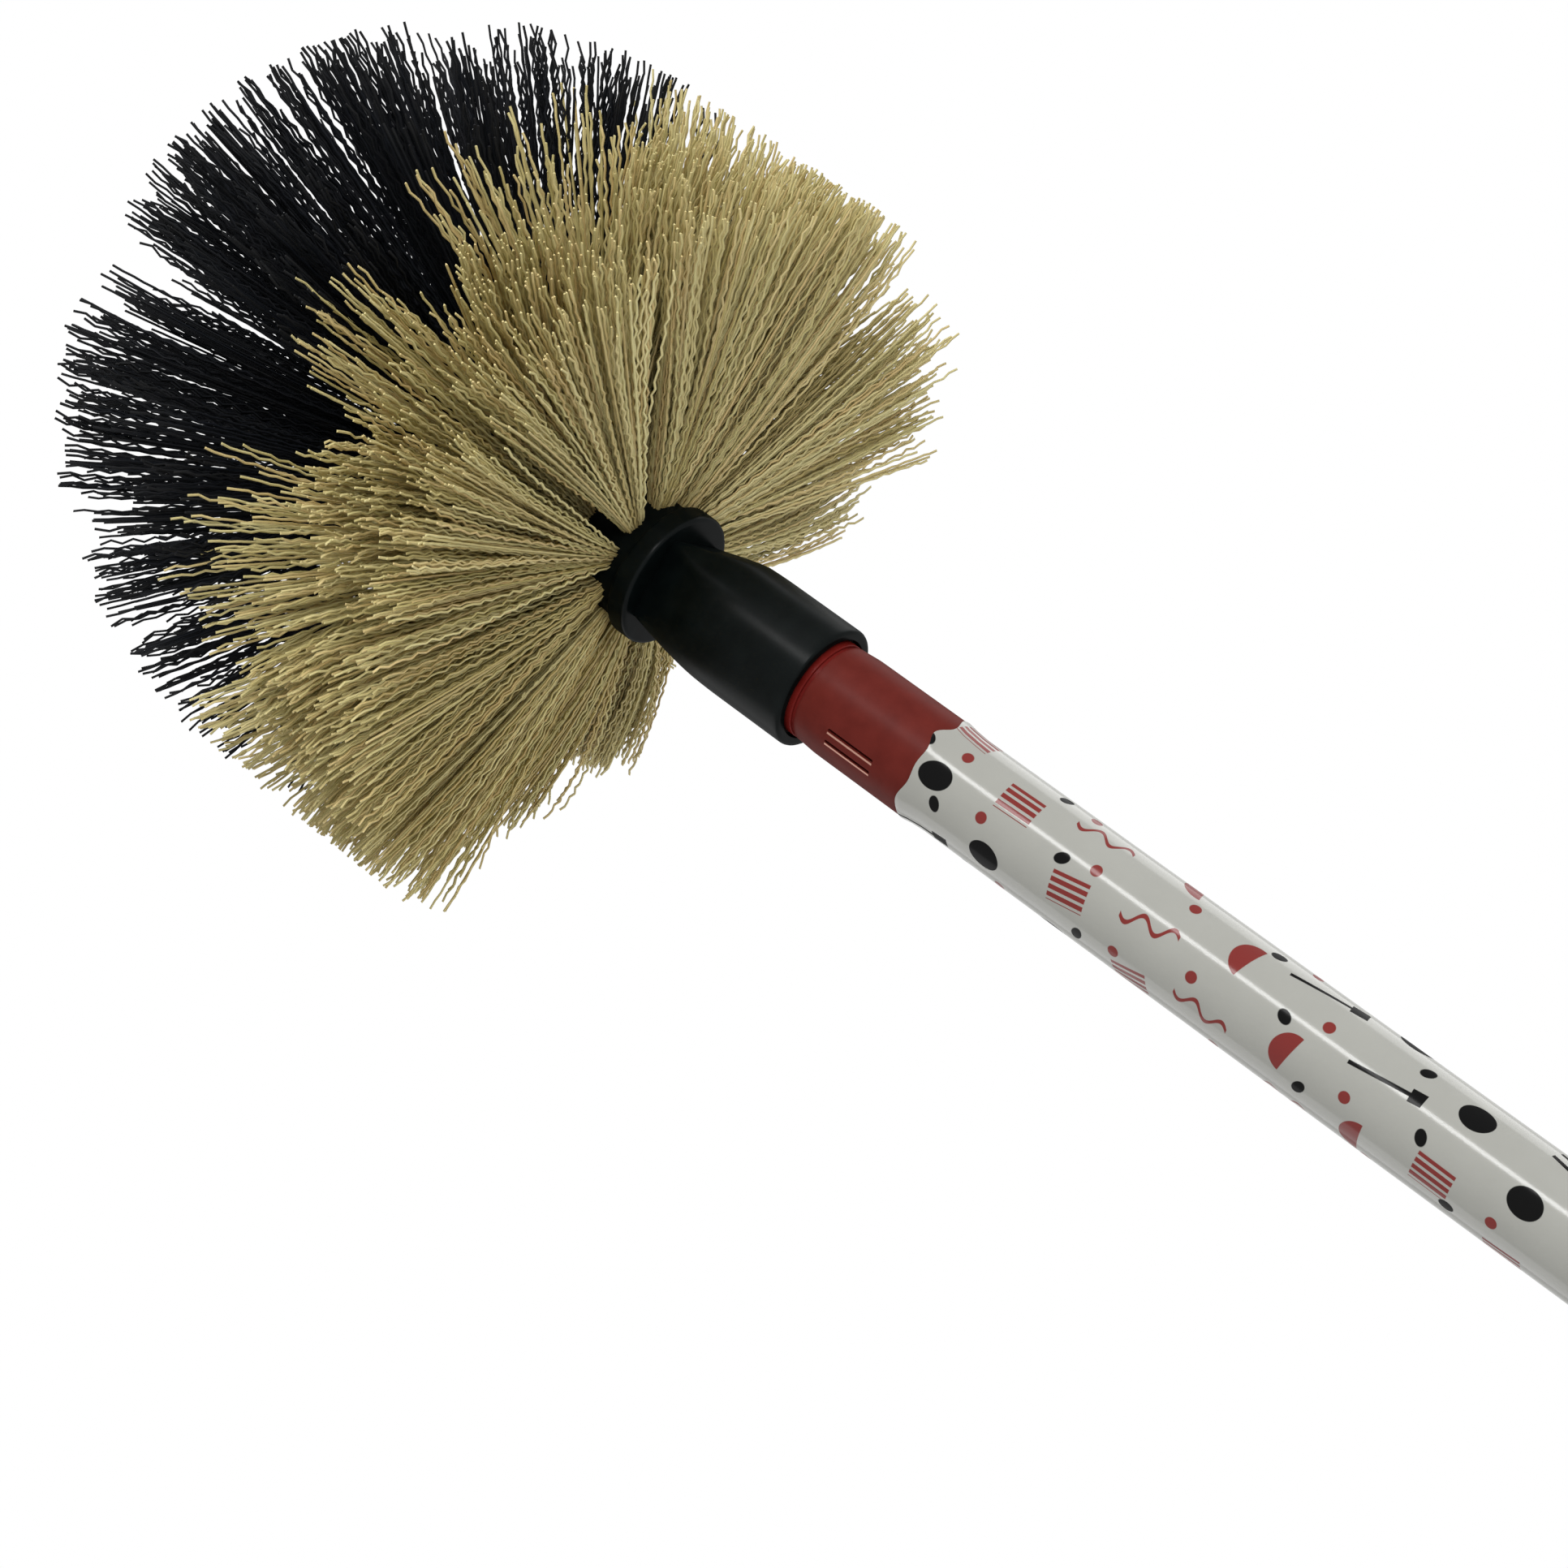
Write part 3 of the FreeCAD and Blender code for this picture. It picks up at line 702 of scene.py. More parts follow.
@dataclass(frozen=True)
class FloorFinish(Finish):
    """Pale matt studio paper."""

    tone: Colour = PURE_WHITE
    shade: Colour = PURE_WHITE
    cloud_scale: float = 3.0
    fade_start: float = 0.5
    fade_end: float = 1.9

    def surface(self, graph: Graph) -> Sockets:
        """Faintly uneven paper that fades into the white surround away from the object.

        Args:
            graph: The material's graph.

        Returns:
            Colour, roughness and the white that is seen far out.
        """
        where = graph.place()
        paper = graph.mix(graph.noise(where, self.cloud_scale), self.tone, self.shade)
        far = graph.node("ShaderNodeVectorMath", {"operation": "LENGTH"}, {0: where}, "Value")
        share = ((far - self.fade_start) / (self.fade_end - self.fade_start)).clamp()
        share = share * share * (3.0 - share * 2.0) * seen_rays(graph)
        return {
            "Base Color": graph.mix(share, paper, PURE_BLACK),
            "Roughness": 0.9,
            "Emission Color": graph.mix(share, PURE_BLACK, PURE_WHITE),
            "Emission Strength": 1.0,
        }


CREAM = BristleFinish(
    "cream_bristle",
    specular=0.18,
    dark=srgb(175, 163, 104),
    light=srgb(225, 215, 160),
    # painted shade near the strand roots
    root_shade=srgb(158, 136, 82),
    cut_end=srgb(212, 199, 145),
    tint=srgb(206, 168, 114),
    cut_share=0.3,
)
BLACK = BristleFinish(
    "black_bristle",
    specular=0.0,
    coat=0.08,
    coat_roughness=0.4,
    dark=srgb(14, 15, 17),
    light=srgb(36, 37, 40),
    # painted shade near the strand roots
    root_shade=srgb(7, 7, 8),
    cut_end=srgb(44, 44, 44),
    tint=srgb(18, 22, 29),
)
SATIN_BLACK = MouldedFinish(
    "satin_black_plastic",
    specular=0.0,
    coat=0.16,
    coat_roughness=0.28,
    dark=srgb(5, 9, 9),
    light=srgb(11, 16, 16),
)
RED_PLASTIC = MouldedFinish(
    "red_plastic",
    specular=0.0,
    coat=0.14,
    coat_roughness=0.3,
    dark=srgb(96, 22, 18),
    light=srgb(114, 30, 26),
)
ENAMEL = EnamelFinish(
    "red_enamel",
    specular=0.0,
    coat=0.14,
    coat_roughness=0.36,
    dark=srgb(82, 26, 21),
    light=srgb(103, 38, 32),
    # pale metal band by the slits, partly a painted highlight
    scuffed_highlight_colour=srgb(186, 142, 126),
)
FILM = FilmFinish(
    "printed_film",
    specular=0.0,
    coat=0.85,
    coat_roughness=0.14,
    ground=srgb(157, 157, 151),
    shade=srgb(149, 149, 143),
    black=srgb(9, 9, 9),
    red=srgb(116, 36, 32),
)
STEEL = SteelFinish("anchor_steel", tone=srgb(190, 188, 182), streak=srgb(150, 148, 144))
PAPER = FloorFinish("studio_paper", specular=0.1, tone=srgb(244, 244, 243), shade=srgb(240, 240, 239))


def new_object(name: str, data: bpy.types.ID) -> bpy.types.Object:
    """An object linked to the scene.

    Args:
        name: The object's name.
        data: Its mesh, lamp or camera.

    Returns:
        The new object.
    """
    made = bpy.data.objects.new(name, data)
    bpy.context.scene.collection.objects.link(made)
    return made


def from_work(name: str, work: bmesh.types.BMesh) -> bpy.types.Object:
    """A new object from a mesh in the making, which is freed.

    Args:
        name: The object's name.
        work: The mesh in the making.

    Returns:
        The new object.
    """
    mesh = bpy.data.meshes.new(name)
    work.to_mesh(mesh)
    work.free()
    return new_object(name, mesh)


def add_prism(work: bmesh.types.BMesh, near: Sequence[Vector], far: Sequence[Vector]) -> None:
    """Adds a closed prism between two outlines with as many points.

    Args:
        work: The mesh in the making.
        near: The first outline, in millimetres.
        far: The second outline, in millimetres.
    """
    first = [work.verts.new(point * MM) for point in near]
    second = [work.verts.new(point * MM) for point in far]
    work.faces.new(first)
    work.faces.new(second)
    for here in range(len(first)):
        after = (here + 1) % len(first)
        work.faces.new((first[here], first[after], second[after], second[here]))


def add_drill(work: bmesh.types.BMesh, place: Matrix, radius: float, length: float, sides: int) -> None:
    """Adds a round drill.

    Args:
        work: The mesh in the making.
        place: The drill's middle in metres, and its turn.
        radius: Its radius in millimetres.
        length: Its length in millimetres.
        sides: Points round it.
    """
    bmesh.ops.create_cone(
        work,
        cap_ends=True,
        segments=sides,
        radius1=radius * MM,
        radius2=radius * MM,
        depth=length * MM,
        matrix=place,
    )


def settle(piece: bpy.types.Object) -> bpy.types.Object:
    """Turns a piece with modifiers into a plain mesh.

    Args:
        piece: The object, whose modifiers are removed.

    Returns:
        The same object with its evaluated mesh.
    """
    bpy.context.view_layer.update()
    graph = bpy.context.evaluated_depsgraph_get()
    mesh = bpy.data.meshes.new_from_object(piece.evaluated_get(graph), depsgraph=graph)
    old = piece.data
    piece.modifiers.clear()
    piece.data = mesh
    bpy.data.meshes.remove(old)
    mesh.name = piece.name
    return piece


def combine(piece: bpy.types.Object, tool: bpy.types.Object, how: Cut) -> None:
    """Drills or welds one mesh with another, which is used up.

    Args:
        piece: The mesh that stays.
        tool: The mesh that cuts or joins.
        how: Which of the two.
    """
    step = piece.modifiers.new("step", "BOOLEAN")
    step.operation = how.value
    step.solver = "EXACT"
    step.object = tool
    settle(piece)
    bpy.data.objects.remove(tool)


def soften(piece: bpy.types.Object, angle: float = 32.0) -> None:
    """Smooth shading, kept sharp at edges over the angle in degrees."""
    piece.data.shade_smooth()
    piece.data.set_sharp_from_angle(angle=math.radians(angle))


def present(
    piece: bpy.types.Object, finish: bpy.types.Material, body: Body, node: str
) -> None:
    """Dresses a finished piece and puts it on its body in place of a CAD node.

    Args:
        piece: The finished mesh.
        finish: Its material.
        body: The body that it moves with.
        node: The CAD node that it stands for.
    """
    piece.data.materials.clear()
    piece.data.materials.append(finish)
    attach(piece, body.value)
    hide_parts(node)
    log.info("%s: %d faces on %s", piece.name, len(piece.data.polygons), body.value)


def rounded(corners: Sequence[Point], steps: int = 5) -> Outline:
    """An outline whose corners are rounded off.

    Args:
        corners: Radius, height and fillet of each corner; the first and last stay sharp.
        steps: Points along each rounded corner.

    Returns:
        The outline's points.
    """
    points = [np.array(corner[:2]) for corner in corners]
    outline: Outline = [tuple(points[0])]
    for before, here, after, corner in zip(points, points[1:], points[2:], corners[1:]):
        back, ahead = before - here, after - here
        shortest = min(np.linalg.norm(back), np.linalg.norm(ahead))
        reach = min(corner[2], FILLET_REACH * shortest)
        if reach <= 0:
            outline.append(tuple(here))
            continue
        start = here + back / np.linalg.norm(back) * reach
        end = here + ahead / np.linalg.norm(ahead) * reach
        for share in np.linspace(0, 1, steps + 1):
            near = start * (1 - share) ** 2 + here * 2 * share * (1 - share) + end * share**2
            outline.append(tuple(near))
    outline.append(tuple(points[-1]))
    return outline


def divided(outline: Outline, longest: float) -> Outline:
    """An outline with points added on its long runs.

    Args:
        outline: The outline.
        longest: The longest run that is left, in millimetres.

    Returns:
        The finer outline.
    """
    fine: Outline = []
    for (r0, z0), (r1, z1) in zip(outline, outline[1:]):
        count = max(1, math.ceil(math.hypot(r1 - r0, z1 - z0) / longest))
        fine += [(r0 + (r1 - r0) * k / count, z0 + (z1 - z0) * k / count) for k in range(count)]
    return fine + [outline[-1]]


def turned(
    name: str, outline: Outline, closed: bool = False, shape: Shape | None = None, around: int = AROUND
) -> bpy.types.Object:
    """A turned piece from an outline in millimetres.

    Args:
        name: The piece's name.
        outline: Radius and height of each point, from one pole to the other or round a wall.
        closed: Whether the last point joins the first.
        shape: Changes radius and height by angle, where the piece isn't quite round.
        around: Points round the axis.

    Returns:
        The new object.
    """
    angle = np.linspace(0, math.tau, around, endpoint=False)[None, :]
    radius = np.repeat(np.array([p[0] for p in outline])[:, None], around, axis=1)
    height = np.repeat(np.array([p[1] for p in outline])[:, None], around, axis=1)
    if shape is not None:
        radius, height = shape(np.repeat(angle, len(outline), axis=0), radius, height)
    points = np.stack([radius * np.cos(angle), radius * np.sin(angle), height], axis=-1) * MM
    rows = len(outline)
    faces = []
    for row in range(rows if closed else rows - 1):
        lower, upper = row * around, (row + 1) % rows * around
        for column in range(around):
            after = (column + 1) % around
            faces.append((lower + column, lower + after, upper + after, upper + column))
    mesh = bpy.data.meshes.new(name)
    mesh.from_pydata(points.reshape(-1, 3).tolist(), [], faces)
    work = bmesh.new()
    work.from_mesh(mesh)
    bmesh.ops.remove_doubles(work, verts=work.verts, dist=DOUBLES)
    bmesh.ops.recalc_face_normals(work, faces=work.faces)
    work.to_mesh(mesh)
    work.free()
    piece = new_object(name, mesh)
    soften(piece)
    return piece


def thread_wave(angle: Grid, height: Grid, start: float, end: float) -> Grid:
    """A screw thread's height from 0 at its root to 1 at its crest.

    Args:
        angle: Angles round the axis.
        height: Heights along the axis.
        start: Where the thread starts.
        end: Where it ends.

    Returns:
        The share of the crest's height at each place.
    """
    phase = (height / THREAD_PITCH - angle / math.tau) % 1.0
    ridge = np.clip((0.5 - np.abs(phase - 0.5)) * RIDGE_SLOPE - RIDGE_GAP, 0.0, 1.0)
    fade = np.clip((height - start) / RUN_OUT, 0, 1) * np.clip((end - height) / RUN_OUT, 0, 1)
    return ridge * fade


class BristleTree:
    """The Geometry Nodes tree that grows the crimped filaments of one tuft."""

    INPUTS = {
        "NodeSocketInt": ("Count", "Points", "Lock Size", "Seed"),
        "NodeSocketVector": ("Root", "Axis", "Side", "Up"),
        "NodeSocketFloat": (
            "Reach", "Half Width", "Half Height", "Taper", "Lift", "Lean", "Scatter",
            "Root Radius", "Root Swell", "Depth", "Head Radius", "Equator",
            "Filament Radius", "Crimp Height", "Crimp Points", "Stray", "Trim",
        ),
        "NodeSocketMaterial": ("Finish",),
    }
    EVEN_STEPS = (0.7548776662, 0.5698402910)
    SEED_STEPS = (0.371, 0.137)
    STRAIGHT_SHARE = 0.2
    SWAY_RATE = 4.6
    CRIMP_RAMP = 8.0
    PHASE_SPREAD = 0.8
    TILT_SPREAD = 0.6
    STRAND_SHADE = 0.65
    LOCK_SHADE = 0.35
    SIDES = 3
    FLATTEST = 1e-4

    def __init__(self) -> None:
        """Builds the tree once for all tufts."""
        self.tree = bpy.data.node_groups.new("bristle_tuft", "GeometryNodeTree")
        names = [(name, kind) for kind, group in self.INPUTS.items() for name in group]
        for name, kind in names:
            self.tree.interface.new_socket(name, in_out="INPUT", socket_type=kind)
        self.tree.interface.new_socket("Geometry", in_out="OUTPUT", socket_type="NodeSocketGeometry")
        self.graph = Graph(self.tree)
        first = self.graph.node("NodeGroupInput")
        self.given = {name: first.sibling(name) for name, _ in names}
        self.build()

    def draw(self, low: float, high: float, identity: Wire, what: Draw) -> Wire:
        """A random number for each strand or lock of the tuft."""
        return self.graph.random(low, high, identity, self.given["Seed"] + what.value)

    def trimmed_length(self, aim: Wire) -> Wire:
        """The distance from the root to the domed outline of the head.

        Args:
            aim: The filament's direction, of length 1.

        Returns:
            The distance along it.
        """
        graph, given = self.graph, self.given
        flat = (1.0, 1.0, 0.0)
        root, radius, equator = given["Root"], given["Head Radius"], given["Equator"]
        run = graph.maths("MAXIMUM", graph.dot(aim * flat, aim), self.FLATTEST)
        lean = graph.dot(root * flat, aim)
        off = graph.dot(root * flat, root) - radius * radius
        side = (graph.maths("SQRT", lean * lean - run * off) - lean) / run
        from_centre = root - graph.node("ShaderNodeCombineXYZ", {}, {"Z": equator})
        lean = graph.dot(from_centre, aim)
        off = graph.dot(from_centre, from_centre) - radius * radius
        dome = graph.maths("SQRT", lean * lean - off) - lean
        rise = graph.dot(root + aim * side, (0.0, 0.0, 1.0))
        on_side = graph.maths("LESS_THAN", rise, equator)
        return side * on_side + dome * (1.0 - on_side)

    def even(self, lock: Wire, axis: int) -> Wire:
        """Numbers from -1 to 1 that spread the locks evenly over the tuft, on one of its two axes."""
        steps = lock * self.EVEN_STEPS[axis] + self.given["Seed"] * self.SEED_STEPS[axis]
        return self.graph.maths("FRACT", steps) * 2.0 - 1.0

    def path(self, number: Wire, lock: Wire, factor: Wire) -> Wire:
        """The smooth line of each strand, from inside its hole to the outline of the head.

        Args:
            number: The strand's number.
            lock: The number of the lock that it lies in.
            factor: The place along it, from 0 to 1.

        Returns:
            The place of each point.
        """
        graph, given = self.graph, self.given
        root, axis, side, up = (given[name] for name in self.INPUTS["NodeSocketVector"])
        share_x = self.even(lock, 0) + self.draw(-1.0, 1.0, number, Draw.ACROSS) * given["Scatter"]
        share_y = self.even(lock, 1) + self.draw(-1.0, 1.0, number, Draw.ABOVE) * given["Scatter"]
        width = given["Half Width"] * (1.0 - (share_y * 0.5 + 0.5).clamp() * given["Taper"])
        lift = share_y * given["Half Height"] + given["Lift"]
        stray_x = self.draw(-1.0, 1.0, number, Draw.STRAY_ACROSS) * given["Stray"]
        stray_y = self.draw(-1.0, 1.0, number, Draw.STRAY_ABOVE) * given["Stray"]
        spread = side * (share_x * width + given["Lean"] + stray_x) + up * (lift + stray_y)
        aim = graph.maths("NORMALIZE", axis * given["Reach"] + spread)
        cut = self.draw(0.0, 1.0, number, Draw.TRIM)
        length = self.trimmed_length(aim) * (1.0 - cut * cut * given["Trim"])
        bundle = side * share_x + up * share_y
        start = root - axis * given["Depth"] + bundle * given["Root Radius"]
        control = root + (axis + aim) * (length * self.STRAIGHT_SHARE) + bundle * given["Root Swell"]
        end = root + aim * length
        rest = 1.0 - factor
        return start * (rest * rest) + control * (factor * rest * 2.0) + end * (factor * factor)

    def wave(self, number: Wire, lock: Wire, factor: Wire) -> Wire:
        """The crimp and the slow sway of each strand about its line.

        Args:
            number: The strand's number.
            lock: The number of the lock that it lies in.
            factor: The place along it, from 0 to 1.

        Returns:
            The move of each point.
        """
        graph, given = self.graph, self.given
        sway = self.draw(0.0, math.tau, lock, Draw.SWAY)
        bend = graph.maths("SINE", factor * self.SWAY_RATE + sway) * factor * given["Stray"]
        own = self.draw(-self.PHASE_SPREAD, self.PHASE_SPREAD, number, Draw.STRAND_PHASE)
        phase = self.draw(0.0, math.tau, lock, Draw.LOCK_PHASE) + own
        beat = factor.sibling("Index") * math.tau / given["Crimp Points"]
        ramp = graph.maths("MINIMUM", factor * self.CRIMP_RAMP, 1.0)
        crimp = graph.maths("COSINE", beat + phase) * ramp * given["Crimp Height"]
        own = self.draw(-self.TILT_SPREAD, self.TILT_SPREAD, number, Draw.STRAND_TILT)
        tilt = self.draw(0.0, math.tau, lock, Draw.LOCK_TILT) + own
        turned_to = given["Side"] * graph.maths("COSINE", tilt) + given["Up"] * graph.maths("SINE", tilt)
        return turned_to * (crimp + bend)

    def build(self) -> None:
        """Adds the nodes from the straight line to the dressed mesh."""
        graph, given = self.graph, self.given
        inputs = {"Curve": graph.node("GeometryNodeCurvePrimitiveLine"), "Count": given["Points"]}
        line = graph.node("GeometryNodeResampleCurve", {"mode": "COUNT"}, inputs)
        inputs = {"Geometry": line, "Amount": given["Count"]}
        strands = graph.node("GeometryNodeDuplicateElements", {"domain": "SPLINE"}, inputs)
        number = strands.sibling("Duplicate Index")
        lock = graph.maths("FLOOR", number / given["Lock Size"])
        factor = graph.node("GeometryNodeSplineParameter", {}, {}, "Factor")
        place = self.path(number, lock, factor) + self.wave(number, lock, factor)
        shade = self.draw(0.0, 1.0, number, Draw.STRAND_SHADE) * self.STRAND_SHADE
        shade = shade + self.draw(0.0, 1.0, lock, Draw.LOCK_SHADE) * self.LOCK_SHADE
        strands = self.keep(strands, "strand", shade)
        strands = self.keep(strands, "along", factor)
        strands = graph.node("GeometryNodeSetPosition", {}, {"Geometry": strands, "Position": place})
        inputs = {"Resolution": self.SIDES, "Radius": given["Filament Radius"]}
        section = graph.node("GeometryNodeCurvePrimitiveCircle", {}, inputs)
        inputs = {"Curve": strands, "Profile Curve": section, "Fill Caps": True}
        skin = graph.node("GeometryNodeCurveToMesh", {}, inputs)
        skin = graph.node("GeometryNodeSetShadeSmooth", {}, {"Geometry": skin, "Shade Smooth": True})
        skin = graph.node("GeometryNodeRealizeInstances", {}, {"Geometry": skin})
        inputs = {"Geometry": skin, "Material": given["Finish"]}
        skin = graph.node("GeometryNodeSetMaterial", {}, inputs)
        graph.node("NodeGroupOutput", {}, {"Geometry": skin})

    def keep(self, strands: Wire, name: str, value: Wire) -> Wire:
        """Stores a value on the strands for their finish to read.

        Args:
            strands: The curves.
            name: The attribute's name.
            value: The value at each point.

        Returns:
            The curves with the attribute.
        """
        settings = {"data_type": "FLOAT", "domain": "POINT"}
        inputs = {"Geometry": strands, "Name": name, "Value": value}
        return self.graph.node("GeometryNodeStoreNamedAttribute", settings, inputs)

    def grow(self, name: str, values: dict[str, Any]) -> bpy.types.Object:
        """Grows one tuft as a plain mesh.

        Args:
            name: The tuft's name.
            values: The tree's inputs by name.

        Returns:
            The new object.
        """
        piece = new_object(name, bpy.data.meshes.new(name))
        step = piece.modifiers.new("bristles", "NODES")
        step.node_group = self.tree
        for item in self.tree.interface.items_tree:
            if item.in_out == "INPUT":
                step[item.identifier] = values[item.name]
        return settle(piece)


@dataclass(frozen=True)
class TuftKind:
    """What the filaments of one colour have in common, in millimetres."""

    finish: BristleFinish
    slot: Slot
    count: int
    lock_size: int
    scatter: float
    filament_radius: float
    crimp_height: float
    crimp_points: float
    stray: float
    trim: float


def cycled(values: Sequence[float], number: int) -> float:
    """The value for one tuft of a row, where a short list starts over."""
    return values[number % len(values)]


@dataclass(frozen=True)
class TuftRow:
    """One ring of tufts: where its roots leave the hub and where its tips end, in millimetres."""

    label: str
    kind: TuftKind
    count: int
    turn: float
    root: tuple[float, float]
    tip: tuple[float, float]
    half_width: float
    half_height: float
    tapers: tuple[float, ...] = (0.0,)
    lifts: tuple[float, ...] = (0.0,)
    leans: tuple[float, ...] = (0.0,)
    spans: tuple[float, ...] = (1.0,)

    def names(self) -> list[str]:
        """The names of the row's tufts.

        Returns:
            One name for each, without a number where the row has only one.
        """
        if self.count == 1:
            return [self.label]
        return [f"{self.label}_{number + 1:02d}" for number in range(self.count)]

    def stance(self, number: int) -> tuple[Vector, Vector, Vector]:
        """How one tuft stands on the hub.

        Args:
            number: The tuft's place in its row.

        Returns:
            Its root in millimetres, its axis and the level direction across it.
        """
        angle = math.radians(self.turn + 360 * number / self.count)
        out = Vector((math.cos(angle), math.sin(angle), 0.0))
        side = Vector((-math.sin(angle), math.cos(angle), 0.0))
        slope = math.atan2(self.tip[1] - self.root[1], self.tip[0] - self.root[0])
        axis = out * math.cos(slope) + Vector((0.0, 0.0, math.sin(slope)))
        root = out * self.root[0] + Vector((0.0, 0.0, self.root[1]))
        return root, axis, side


CREAM_TUFT = TuftKind(
    CREAM,
    Slot.CREAM_BRISTLE,
    count=150,
    lock_size=4,
    scatter=0.2,
    filament_radius=0.31,
    crimp_height=0.34,
    crimp_points=2.5,
    stray=1.7,
    trim=0.12,
)
BLACK_TUFT = TuftKind(
    BLACK,
    Slot.BLACK_BRISTLE,
    count=98,
    lock_size=8,
    scatter=0.14,
    filament_radius=0.32,
    crimp_height=0.46,
    crimp_points=2.0,
    stray=1.7,
    trim=0.14,
)
TUFT_ROWS = (
    TuftRow(
        "cream_tuft_1", CREAM_TUFT, count=10, turn=0.0, root=(13.6, 1229.7), tip=(85.0, 1231.0),
        half_width=27.0, half_height=8.0, tapers=(0.1,),
        lifts=(-1.0, -3.0, 10.0, 20.0, 22.0, 2.0, 0.0, 0.0, 0.0, -1.0),
        leans=(-12.0, -6.0, -18.0, 15.0, 4.0, 0.0, 0.0, 0.0, 0.0, 0.0),
        spans=(0.55, 0.85, 0.4, 0.28, 0.9, 1.0, 1.0, 1.0, 1.0, 1.0),
    ),
    TuftRow(
        "cream_tuft_2", CREAM_TUFT, count=10, turn=18.0, root=(13.6, 1239.7), tip=(85.0, 1257.0),
        half_width=26.0, half_height=19.0, tapers=(0.15, 0.75),
        lifts=(12.0, 0.0, 14.0, 13.0, 5.0, 0.0, 0.0, 0.0, 0.0, -1.0),
    ),
    TuftRow(
        "cream_tuft_3", CREAM_TUFT, count=10, turn=0.0, root=(13.6, 1249.7), tip=(85.0, 1248.0),
        half_width=22.0, half_height=9.0, tapers=(0.8,),
        lifts=(-1.0, -1.0, 12.0, 12.0, 8.0, 0.0, 0.0, 0.0, 0.0, 0.0),
    ),
    TuftRow(
        "black_tuft_1", BLACK_TUFT, count=10, turn=18.0, root=(13.6, 1259.7), tip=(83.5, 1293.0),
        half_width=21.0, half_height=21.0,
        leans=(0.0, 0.0, 0.0, 0.0, 0.0, 0.0, 0.0, 4.0, 4.0, 0.0),
        spans=(1.0, 1.0, 1.0, 1.0, 1.0, 0.9, 0.83, 0.83, 0.83, 0.9),
    ),
    TuftRow(
        "black_tuft_2", BLACK_TUFT, count=8, turn=0.0, root=(11.4, 1265.2), tip=(66.45, 1335.4),
        half_width=22.0, half_height=17.0,
        leans=(0.0, 0.0, 0.0, 0.0, 0.0, 3.0, 5.0, 1.0),
        spans=(1.0, 1.0, 1.0, 1.0, 0.9, 0.75, 0.75, 0.75),
    ),
    TuftRow(
        "black_tuft_3", BLACK_TUFT, count=4, turn=22.5, root=(6.6, 1267.4), tip=(36.88, 1358.99),
        half_width=23.0, half_height=18.0,
        leans=(0.0, 0.0, 2.0, -2.0),
        spans=(1.0, 1.0, 0.8, 0.65),
    ),
    TuftRow(
        "black_tuft_top", BLACK_TUFT, count=1, turn=0.0, root=(0.0, 1267.4), tip=(0.0, 1367.4),
        half_width=19.0, half_height=19.0,
    ),
)


@dataclass
class BristleHead:
    """All tufts of the head, grown from the hub to its domed outline, in millimetres."""

    head_radius: float = 87.0
    equator: float = 1282.4
    root_radius: float = 1.4
    root_swell: float = 4.2
    depth: float = 3.5
    crimp_length: float = 4.4
    seed_step: int = 17
    rows: tuple[TuftRow, ...] = TUFT_ROWS

    def values(self, row: TuftRow, number: int, seed: int, finish: bpy.types.Material) -> dict[str, Any]:
        """The tree's inputs for one tuft.

        Args:
            row: The tuft's row.
            number: The tuft's place in its row.
            seed: The number that sets its random draws.
            finish: Its material.

        Returns:
            Values by the tree's input names.
        """
        kind = row.kind
        root, axis, side = row.stance(number)
        reach = math.dist(row.root, row.tip)
        return {
            "Count": kind.count,
            "Points": round(kind.crimp_points * reach / self.crimp_length) + 1,
            "Lock Size": kind.lock_size,
            "Seed": seed,
            "Root": root * MM,
            "Axis": axis,
            "Side": side,
            "Up": axis.cross(side),
            "Reach": reach * MM,
            "Half Width": row.half_width * cycled(row.spans, number) * MM,
            "Half Height": row.half_height * MM,
            "Taper": cycled(row.tapers, number),
            "Lift": cycled(row.lifts, number) * MM,
            "Lean": cycled(row.leans, number) * MM,
            "Scatter": kind.scatter,
            "Root Radius": self.root_radius * MM,
            "Root Swell": self.root_swell * MM,
            "Depth": self.depth * MM,
            "Head Radius": self.head_radius * MM,
            "Equator": self.equator * MM,
            "Filament Radius": kind.filament_radius * MM,
            "Crimp Height": kind.crimp_height * MM,
            "Crimp Points": kind.crimp_points,
            "Stray": kind.stray * MM,
            "Trim": kind.trim,
            "Finish": finish,
        }

    def build(self) -> None:
        """Grows and dresses every tuft."""
        tree = BristleTree()
        finishes = {kind: kind.finish.make() for kind in (CREAM_TUFT, BLACK_TUFT)}
        seed = 0
        for row in self.rows:
            for number, name in enumerate(row.names()):
                seed += self.seed_step
                finish = finishes[row.kind]
                tuft = tree.grow(f"bristles_{name}", self.values(row, number, seed, finish))
                present(tuft, finish, Body.HEAD, name)


